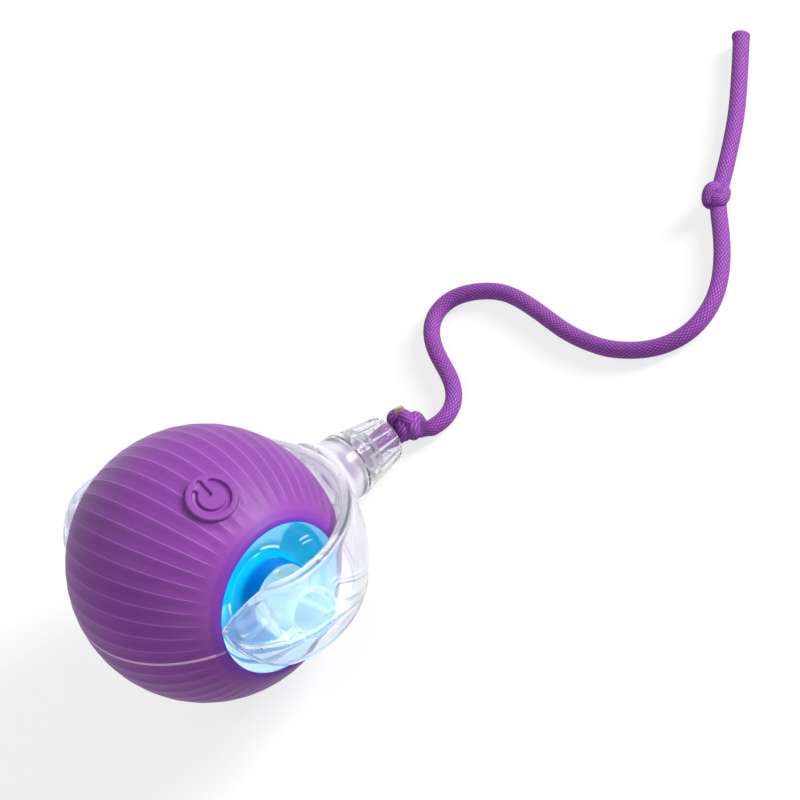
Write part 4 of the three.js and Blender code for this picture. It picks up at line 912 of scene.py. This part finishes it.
class CATBALL_OT_sleeve(bpy.types.Operator):
    """Ribbed silicone sleeve with rolled lips, button hole and charging recess"""
    bl_idname = "catball.sleeve"
    bl_label = "Silicone sleeve"

    def surface(self, sizes):
        """Closed section carried round Y. Outside radius: the ball's radius less the rib depth times the sine
        squared of pi t, where t is the share of a rib's pitch from its crest, plus a narrow bell-shaped bead on
        the crest; both fade towards the lip, which rolls in over the dish's edge."""
        ball, inner = sizes.radius / MM, sizes.inner_radius / MM
        lip, width, plane = sizes.lip_inner / MM, sizes.lip_width / MM, sizes.opening_plane / MM
        shoulder = lip + width + 0.12
        last = math.degrees(math.acos(shoulder / ball))
        height = ball * math.sin(math.radians(last))
        half = arc(ball, 0.0, last, 40)
        roll = rounded([(shoulder, height), (shoulder - 0.25, height + 0.2), (lip + 0.3, plane - 0.22),
                        (lip - 0.5, plane - 0.05), (lip - 0.66, plane - 0.34), (lip - 0.1, plane - 0.4),
                        (lip, plane - 0.5), (lip, math.sqrt(inner ** 2 - (lip + 0.3) ** 2))], 0.3, 7)
        inside = arc(inner, math.degrees(math.acos((lip + 0.3) / inner)), 0.0, 14)
        top = np.concatenate([half, roll[1:], inside])
        low = top[::-1][1:] * (1, -1)
        profile = np.concatenate([top, low[:-1]])
        ribs = sizes.rib_count
        near = np.array([0.03, 0.06, 0.1, 0.16, 0.24, 0.33, 0.42])
        share = np.round(np.concatenate([[0.0], near, [0.5], 1 - near[::-1]]), 4)
        turn = np.append((np.arange(ribs)[:, None] + share).ravel(), ribs)
        angle = turn * 2 * math.pi / ribs
        from_crest = np.minimum(turn % 1, 1 - turn % 1)
        hollow = np.sin(math.pi * from_crest) ** 2
        bead = np.exp(-(from_crest / 0.045) ** 2)
        radius, y = profile[:, :1], profile[:, 1:]
        distance = np.hypot(radius, y)
        outside = (distance > ball - 0.3) & (radius > shoulder - 0.02)
        fade = smooth(radius, shoulder + 0.4, shoulder + 3.2) * outside
        change = fade * (-(sizes.rib_depth / MM) * hollow + (sizes.bead_rise / MM) * (bead - 1))
        scale = 1 + change / distance
        # crest 0 lies on the parting line, towards -X of the ball's own frame
        x = -radius * np.cos(angle) * scale
        z = radius * np.sin(angle) * scale
        return np.stack([x, y * scale + 0 * angle, z], -1)

    def execute(self, context):
        sizes = context.scene.catball_sleeve
        button = context.scene.catball_button
        ball = self.surface(sizes)
        # the silicone rises a little round the button
        axis = spun(np.array([0.0, 0.0, 1.0]), "X", BUTTON_LATITUDE)
        along = ball @ axis
        off = np.linalg.norm(ball - along[..., None] * axis, axis=-1)
        edge = button.radius / MM
        rise = 0.3 * smooth(off, edge + 1.1, edge - 0.1) * (along > 0) * (np.linalg.norm(ball, axis=-1) > 23)
        ball = ball + rise[..., None] * axis
        sleeve = mesh_from_grids("ribbed_sleeve", [on_ball(ball)], None, 42.0, closed_rows=True)
        hole = turned([(0, 20.0), (edge + 0.06, 20.0), (edge + 0.06, 26.0), (0, 26.0)], 96, "Z")
        hole = mesh_from_grids("button_hole", [on_button(hole)])
        recess = mesh_from_grids("charging_recess", [self.recess()])
        mesh = combined("ribbed_sleeve", sleeve, [hole, recess], "DIFFERENCE", 42.0)
        finish = silicone_finish("ribbed_silicone", sizes, sizes.rib_count)
        show("ribbed_sleeve", mesh, finish, "ball", "silicone", "silicone_sleeve")
        return {"FINISHED"}

    def recess(self):
        """Long round-ended hole in the sleeve over the charging socket, its outline drawn in to its middle."""
        end = 3.7
        half = 6.5 - end
        angle = np.linspace(0, 2 * math.pi, 65)
        across = end * np.cos(angle) + half * np.sign(np.cos(angle)) * (np.abs(np.cos(angle)) > 1e-9)
        rise = end * np.sin(angle)
        depth = np.array([20.5, 20.5, 26.0, 26.0])[:, None]
        size = np.array([0.0, 1.0, 1.0, 0.0])[:, None]
        grid = np.stack([depth + 0 * angle, size * rise, size * across], -1)
        return on_ball(spun(spun(grid, "Z", SOCKET_LATITUDE), "Y", -SOCKET_AZIMUTH))


class CATBALL_OT_button(bpy.types.Operator):
    """Silicone power button with its raised ring and sunk symbol"""
    bl_idname = "catball.button"
    bl_label = "Power button"

    def execute(self, context):
        sizes = context.scene.catball_button
        sleeve = context.scene.catball_sleeve
        edge = sizes.radius / MM
        top = sleeve.radius / MM + sizes.proud / MM
        around = np.linspace(0, 2 * math.pi, 193)
        reach = np.linspace(0, edge - 0.5, 70)[:, None]
        x, y = reach * np.cos(around), reach * np.sin(around)
        face = np.stack([x, y, self.height(x, y, sizes, top)], -1)
        side = rounded([(edge - 0.5, top), (edge - 0.02, top - 0.02), (edge, top - 1.2), (edge, 22.4),
                        (1.5, 22.4), (1.5, 20.4), (0.0, 20.4)], 0.5, 8)
        wall = turned(side, 192, "Z")
        mesh = mesh_from_grids("silicone_button", [on_button(face), on_button(wall)], None, 50.0)
        finish = silicone_finish("button_silicone_face", sleeve)
        show("silicone_button", mesh, finish, "button", "button_silicone", "power_button")
        return {"FINISHED"}

    def height(self, x, y, sizes, top):
        """Height of the face: the top less the groove depth times a mask. The mask is 1 where the distance to
        the symbol's line is under half the groove width: an arc open over 76 degrees, and a stroke in its opening.
        The ring stands over the middle by a smooth step."""
        depth, width = sizes.groove_depth / MM, sizes.groove_width / MM / 2
        radius = sizes.symbol_radius / MM
        c, s = math.cos(SYMBOL_HEADING), math.sin(SYMBOL_HEADING)
        along, across = x * c + y * s, y * c - x * s
        turn = np.arctan2(across, along)
        half_gap = math.radians(38)
        off_arc = np.abs(np.hypot(x, y) - radius)
        ends = np.array([math.cos(half_gap), math.sin(half_gap)]) * radius
        off_end = np.hypot(along - ends[0], np.abs(across) - ends[1])
        off_arc = np.where(np.abs(turn) > half_gap, off_arc, off_end)
        stroke = np.hypot(across, along - np.clip(along, 0.7, radius + 0.35))
        soft = 0.16
        mask = 1 - smooth(np.minimum(off_arc, stroke), width - soft, width + soft)
        ring = 0.12 * smooth(np.hypot(x, y), radius - 0.2, radius + 0.5)
        return top - 0.12 + ring - depth * mask


class CATBALL_OT_hubs(bpy.types.Operator):
    """Lit blue dishes and the clear cups in their middles"""
    bl_idname = "catball.hubs"
    bl_label = "Hub dishes and cups"

    def execute(self, context):
        sizes = context.scene.catball_hub
        clear = clear_finish("clear_cup", painted(206, 238, 250), 0.8, 0.16)
        for word, side in (("left", -1), ("right", 1)):
            name = f"lit_dish_{word}"
            dish = on_ball(turned(self.dish(sizes) * (1, side), 128))
            mesh = mesh_from_grids(name, [dish], None, 40.0, closed_rows=True)
            show(name, mesh, lit_finish(name, sizes), "ball", "dish_plastic", f"hub_dish_{word}")
            name = f"clear_cup_{word}"
            cup = on_ball(turned(self.cup(sizes) * (1, side), 96))
            mesh = mesh_from_grids(name, [cup], None, 40.0)
            show(name, mesh, clear, "ball", "clear_plastic", f"pivot_cup_{word}")
        return {"FINISHED"}

    def dish(self, sizes):
        """Section of the dish: a half ellipse for the hollow, then the outer wall, flange and back."""
        edge, cup = sizes.dish_radius / MM, sizes.cup_radius / MM
        middle = (edge - 0.4 + cup) / 2
        span = edge - 0.4 - middle
        angle = np.linspace(0, math.pi / 2, 22)
        hollow = np.stack([middle + span * np.cos(angle), 19.0 - 4.2 * np.sin(angle)], -1)
        rest = rounded([(middle, 14.8), (cup + 1.2, 14.9), (cup + 0.32, 16.2), (cup + 0.26, 19.8),
                        (cup + 0.12, 19.8), (cup + 0.12, 15.2), (cup + 0.3, 14.6), (cup + 0.3, 13.6),
                        (middle + span / 3, 13.6), (edge - 1.2, 14.8), (edge - 1.2, 17.0), (edge, 17.2),
                        (edge, 18.9), (edge - 0.15, 19.05), (edge - 0.4, 19.0)], 0.3, 5)
        return np.concatenate([hollow, rest[1:-1]])

    def cup(self, sizes):
        """Section of the cup from its middle below, round its wall and down its bore."""
        cup = sizes.cup_radius / MM
        return rounded([(0, 12.9), (cup + 0.3, 12.9), (cup + 0.3, 13.25), (cup, 13.3), (cup, 19.9),
                        (cup - 0.5, 20.3), (3.7, 20.3), (3.3, 19.9), (3.3, 14.4), (0, 14.4)], 0.4, 6)


class CATBALL_OT_harness(bpy.types.Operator):
    """Clear harness: bridge, two spoon-ended arms, pins and neck"""
    bl_idname = "catball.harness"
    bl_label = "Clear harness"

    def crown(self, share):
        """Crown line in the plane of the arm, as share goes 0 to 1 from the bridge to the tip. Up to 0.7 it is a
        circle whose radius grows by a smooth step; past it the reach is a sine and the height a power of a
        cosine."""
        angle = math.pi / 2 * np.minimum(share, 0.7) / 0.7
        radius = BRIDGE_RADIUS + (ARM_RADIUS - BRIDGE_RADIUS) * smooth(angle, math.pi / 4, math.pi / 2)
        turn = math.pi / 2 * (np.maximum(share, 0.7) - 0.7) / 0.3
        tip = TIP_ASIDE + (ARM_RADIUS - TIP_ASIDE) * (np.cos(turn) ** 2) ** 0.45
        past = share > 0.7
        x = np.where(past, -TIP_REACH * np.sin(turn), radius * np.cos(angle))
        y = np.where(past, tip, radius * np.sin(angle))
        return np.stack([x, y], -1)

    def band(self, sizes):
        """Band over the ball: its section is a rounded bar, twice the half width across and as thick as the arm,
        bent down at its sides by the square of the distance from its middle. Outside it has a bell-shaped bead
        along each edge, a sharp fold along the lower part of each arm, whose height falls to both sides as an
        exponential, and bell-shaped struts in the tip."""
        thick, half = sizes.thickness / MM, sizes.half_width / MM
        share = np.sin(np.linspace(0, math.pi / 2, 130)) * 0.45 + np.linspace(0, 1, 130) * 0.55
        arm = self.crown(share)
        line = np.concatenate([(arm * (1, -1))[::-1], arm[1:]])
        along = unit(np.gradient(line, axis=0))
        outward = np.stack([along[:, 1], -along[:, 0]], -1)
        past = np.clip((half - TIP_REACH - line[:, 0]) / half, 0, 1)
        width = np.maximum(thick / 2, half * (1 - past ** 3) ** (1 / 3))[:, None]
        toward_arm = smooth(np.abs(np.arctan2(line[:, 1], line[:, 0])), math.pi / 6, math.pi / 2)[:, None]
        flat = np.concatenate([np.linspace(0.5, -0.5, 85), np.linspace(-0.5, 0.5, 45)[1:]])
        flat, outside = np.sin(flat * math.pi), np.arange(len(flat)) < 85
        across = width * flat
        edge = np.clip((np.abs(flat) - 1) * width / (thick / 2) + 1, 0, 1)
        wall = thick / 2 * np.sqrt(1 - edge ** 2) * np.where(outside, 1, -1)
        fall = (1.7 + 0.9 * toward_arm) * (across / half) ** 2
        x = line[:, :1] + 0 * flat
        _, place, drop, low, high, _ = HARNESS_LINES[0]
        fold = across - place + drop * np.clip((x - low) / (high - low), 0, 1)
        raised = 0.3 * np.exp(-((width - np.abs(across) - 0.75) / 0.4) ** 2)
        raised = np.maximum(raised, 0.4 * np.exp(-np.abs(fold) / 0.45) * toward_arm)
        for a, b in np.array(HARNESS_STRUTS):
            step = b - a
            t = np.clip(((x - a[0]) * step[0] + (across - a[1]) * step[1]) / (step @ step), 0, 1)
            away = np.hypot(x - a[0] - t * step[0], across - a[1] - t * step[1])
            raised = np.maximum(raised, 0.4 * np.exp(-(away / 0.45) ** 2) * toward_arm)
        level = wall - thick / 2 - fall + raised * outside * np.sqrt(1 - edge ** 2)
        grid = np.stack([x + outward[:, :1] * level, line[:, 1:] + outward[:, 1:] * level, across], -1)
        ends = [row.mean(1, keepdims=True).repeat(grid.shape[1], 1) for row in (grid[:1], grid[-1:])]
        return np.concatenate([ends[0], grid, ends[1]])

    def execute(self, context):
        sizes = context.scene.catball_harness
        thick, neck = sizes.thickness / MM, sizes.neck_radius / MM
        band = mesh_from_grids("clear_harness", [on_harness(self.band(sizes))], None, 50.0)
        root, under, hollow = BRIDGE_RADIUS - thick / 2, ARM_RADIUS - thick / 2, BRIDGE_RADIUS + 0.3
        outside = rounded([(0, root), (neck + 2.4, root), (neck + 0.5, 29.6), (neck, 31.2),
                           (neck, NECK_END - 0.1), (neck - 0.25, NECK_END), (4.3, NECK_END),
                           (4.3, 37.4), (4.1, 37.5), (0, 37.5)], 0.8, 6)
        inside = [(0, hollow), (4.4, hollow), (4.4, 33.2), (3.6, NECK_END), (3.6, 39.0), (0, 39.0)]
        pin = rounded([(0, 14.7), (3.0, 14.7), (3.0, 20.4), (3.1, 25.5), (3.4, 25.9), (4.2, 26.0),
                       (4.45, 26.4), (4.6, under), (0, under)], 0.3, 5)
        others = [mesh_from_grids("neck", [on_harness(turned(outside, 96, "X"))])]
        others += [mesh_from_grids("pin", [on_harness(turned(pin * (1, side), 72))]) for side in (-1, 1)]
        mesh = combined("clear_harness", band, others, "UNION", 50.0)
        bore = mesh_from_grids("bore", [on_harness(turned(inside, 72, "X"))])
        mesh = combined("clear_harness", mesh, [bore], "DIFFERENCE", 50.0)
        finish = harness_finish("clear_harness_plastic", sizes)
        show("clear_harness", mesh, finish, "harness", "clear_plastic", "tail_yoke")
        return {"FINISHED"}


class CATBALL_OT_cap(bpy.types.Operator):
    """Clear fluted screw cap"""
    bl_idname = "catball.cap"
    bl_label = "Screw cap"

    def execute(self, context):
        """Tapered ring. Between a short collar and the mouth the outside radius falls evenly. Twelve flutes, each
        a smooth step of the size of the cosine of six times the angle, begin one to two millimetres along."""
        sizes = context.scene.catball_harness
        base, tip, flutes = CAP_BASE, CAP_END, 12
        outer = rounded([(6.0, base), (6.0, base + 0.3), (5.75, base + 1.5), (4.3, tip - 0.35), (4.05, tip),
                         (3.3, tip)], 0.35, 7)
        long = np.linspace(base + 1.6, tip - 0.7, 40)
        start = outer[outer[:, 1] < base + 1.55]
        end = outer[outer[:, 1] > tip - 0.68]
        wall = np.stack([np.interp(long, [base + 1.5, tip - 0.35], [5.75, 4.3]), long], -1)
        inner = rounded([(3.3, tip), (3.3, tip - 1.4), (3.9, base + 3.8), (4.6, base + 3.6), (4.6, base),
                         (6.0, base)], 0.3, 5)
        profile = np.concatenate([start, wall, end, inner[1:-1]])
        angle = np.linspace(0, 2 * math.pi, flutes * 20 + 1)
        flute = smooth(np.abs(np.cos(flutes / 2 * (angle + 0.13))), 0.12, 0.62)
        radius, x = profile[:, :1], profile[:, 1:]
        outside = radius > 3.95
        outside &= np.arange(len(profile))[:, None] < len(start) + len(wall) + len(end)
        reach = smooth(x, base + 1.0, base + 2.2) * (1 - smooth(x, tip - 0.5, tip)) * outside
        size = radius - 0.36 * flute * reach
        grid = np.stack([x + 0 * angle, size * np.cos(angle), size * np.sin(angle)], -1)
        mesh = mesh_from_grids("fluted_cap", [on_harness(grid)], None, 45.0, closed_rows=True)
        finish = clear_finish("clear_cap_plastic", sizes.clear, 0.96)
        show("fluted_cap", mesh, finish, "cap", "clear_plastic", "screw_cap")
        return {"FINISHED"}


class CATBALL_OT_inside(bpy.types.Operator):
    """Finishes of the pieces inside the ball"""
    bl_idname = "catball.inside"
    bl_label = "Inner pieces"

    def execute(self, context):
        led = Finish("led_lens", Roughness=0.15, Emission_Strength=0.8)
        lens = led.mix(led.noise(1200.0, 1.0).ramp(0.3, 0.7), painted(214, 242, 255), painted(160, 214, 250))
        led.set(Base_Color=lens, Emission_Color=lens)
        # each finish with the starts of the names that it goes to
        rows = (
            (plastic_finish("grey_white_shell", painted(216, 212, 220)), "upper_shell", "lower_shell"),
            (plastic_finish("dark_chassis", painted(58, 58, 64), 0.6), "chassis_left", "chassis_right"),
            (plastic_finish("black_housing", painted(36, 36, 42), 0.4), "gearbox", "tact_switch"),
            (plastic_finish("cream_gear", painted(232, 226, 208), 0.45), "weight_carrier", "drive_gear"),
            (metal_finish("bright_steel", painted(168, 170, 176), 0.3), "motor", "drive_shaft", "charge_socket",
             "shell_screw", "chassis_screw"),
            (metal_finish("weight_steel_dull", painted(140, 142, 148), 0.42), "counterweight"),
            (metal_finish("cell_foil", painted(185, 192, 200), 0.38, (3.0, 1.0, 1.0)), "battery_cell"),
            (board_finish("green_board"), "circuit_board", "switch_board", "charge_board", "led_board"),
            (clear_finish("clear_washer", painted(238, 238, 244)), "rope_washer"),
            (plastic_finish("knot_yarn", painted(138, 58, 164), 0.8, 4000.0), "stopper_knot"),
            (led.material, "led_left", "led_right"),
        )
        for material, *starts in rows:
            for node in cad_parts:
                if node.startswith(tuple(starts)):
                    dress(node, material)
        return {"FINISHED"}


class CATBALL_OT_stage(bpy.types.Operator):
    """Pale floor, soft lamps and world"""
    bl_idname = "catball.stage"
    bl_label = "Stage"

    def lamp(self, name, place, aim, size, power, tint=WHITE):
        data = bpy.data.lights.new(name, "AREA")
        data.shape, data.size, data.energy, data.color = "DISK", size, power, tint
        lamp = bpy.data.objects.new(name, data)
        lamp.location = place
        lamp.rotation_euler = (Vector(aim) - Vector(place)).to_track_quat("-Z", "Y").to_euler()
        bpy.context.scene.collection.objects.link(lamp)

    def execute(self, context):
        look = context.scene.catball_stage
        scene = context.scene
        scene.view_settings.view_transform = "Standard"

        reach, level = 4.0, -0.00005
        corners = [(x, y, level) for x in (-reach, reach) for y in (-reach, reach)]
        mesh = bpy.data.meshes.new("pale_floor")
        mesh.from_pydata(corners, [], [(0, 2, 3, 1)])
        floor = bpy.data.objects.new("pale_floor", mesh)
        scene.collection.objects.link(floor)
        finish = Finish("pale_floor", Roughness=0.9, Specular_IOR_Level=0.0, Base_Color=tuple(look.floor))
        glow = finish.node("ShaderNodeEmission", None, {"Color": WHITE, "Strength": finish.seen() * look.glow})
        both = finish.node("ShaderNodeAddShader", None, {0: finish.shader.outputs[0], 1: glow.outputs[0]})
        finish.feed(finish.tree.nodes["Material Output"].inputs["Surface"], both.outputs[0])
        mesh.materials.append(finish.material)

        world = bpy.data.worlds.new("studio")
        scene.world = world
        world.use_nodes = True
        sky = Nodes(world.node_tree)
        background = sky.tree.nodes["Background"]
        sky.feed(background.inputs["Color"], WHITE)
        sky.feed(background.inputs["Strength"], sky.seen() * (1.0 - look.world) + look.world)

        aim = (0.0, 0.0, 0.02)
        self.lamp("key_lamp", (1.76, -1.24, 1.0), aim, 0.9, 76.0)
        self.lamp("fill_lamp", (-0.5, 0.4, 0.9), aim, 0.7, 1.6, (0.88, 0.93, 1.0))
        self.lamp("low_lamp", (-0.75, -0.8, 0.2), aim, 0.8, 3.5)
        return {"FINISHED"}


class CATBALL_PT_panel(bpy.types.Panel):
    bl_idname = "CATBALL_PT_panel"
    bl_label = "Cat ball"
    bl_space_type = "VIEW_3D"
    bl_region_type = "UI"
    bl_category = "Cat ball"

    def draw(self, context):
        for operator in OPERATORS:
            self.layout.operator(operator.bl_idname)
        for name, group in GROUPS.items():
            box = self.layout.box()
            box.label(text=group.__name__)
            for key in group.__annotations__:
                box.prop(getattr(context.scene, name), key)


GROUPS = {
    "catball_sleeve": SleeveSizes, "catball_button": ButtonSizes, "catball_hub": HubSizes,
    "catball_harness": HarnessSizes, "catball_rope": RopeSizes, "catball_stage": StageLook,
}
OPERATORS = (
    CATBALL_OT_camera, CATBALL_OT_rope, CATBALL_OT_neck_knot, CATBALL_OT_sleeve, CATBALL_OT_button,
    CATBALL_OT_hubs, CATBALL_OT_harness, CATBALL_OT_cap, CATBALL_OT_inside, CATBALL_OT_stage,
)


def register():
    for cls in (*GROUPS.values(), *OPERATORS, CATBALL_PT_panel):
        bpy.utils.register_class(cls)
    for name, group in GROUPS.items():
        setattr(bpy.types.Scene, name, PointerProperty(type=group))


def unregister():
    for name in GROUPS:
        delattr(bpy.types.Scene, name)
    for cls in reversed((*GROUPS.values(), *OPERATORS, CATBALL_PT_panel)):
        bpy.utils.unregister_class(cls)


def main():
    register()
    bpy.ops.catball.camera()
    bpy.ops.catball.rope()
    bpy.ops.catball.neck_knot()
    bpy.ops.catball.sleeve()
    bpy.ops.catball.button()
    bpy.ops.catball.hubs()
    bpy.ops.catball.harness()
    bpy.ops.catball.cap()
    bpy.ops.catball.inside()
    bpy.ops.catball.stage()


if __name__ == "__main__":
    main()
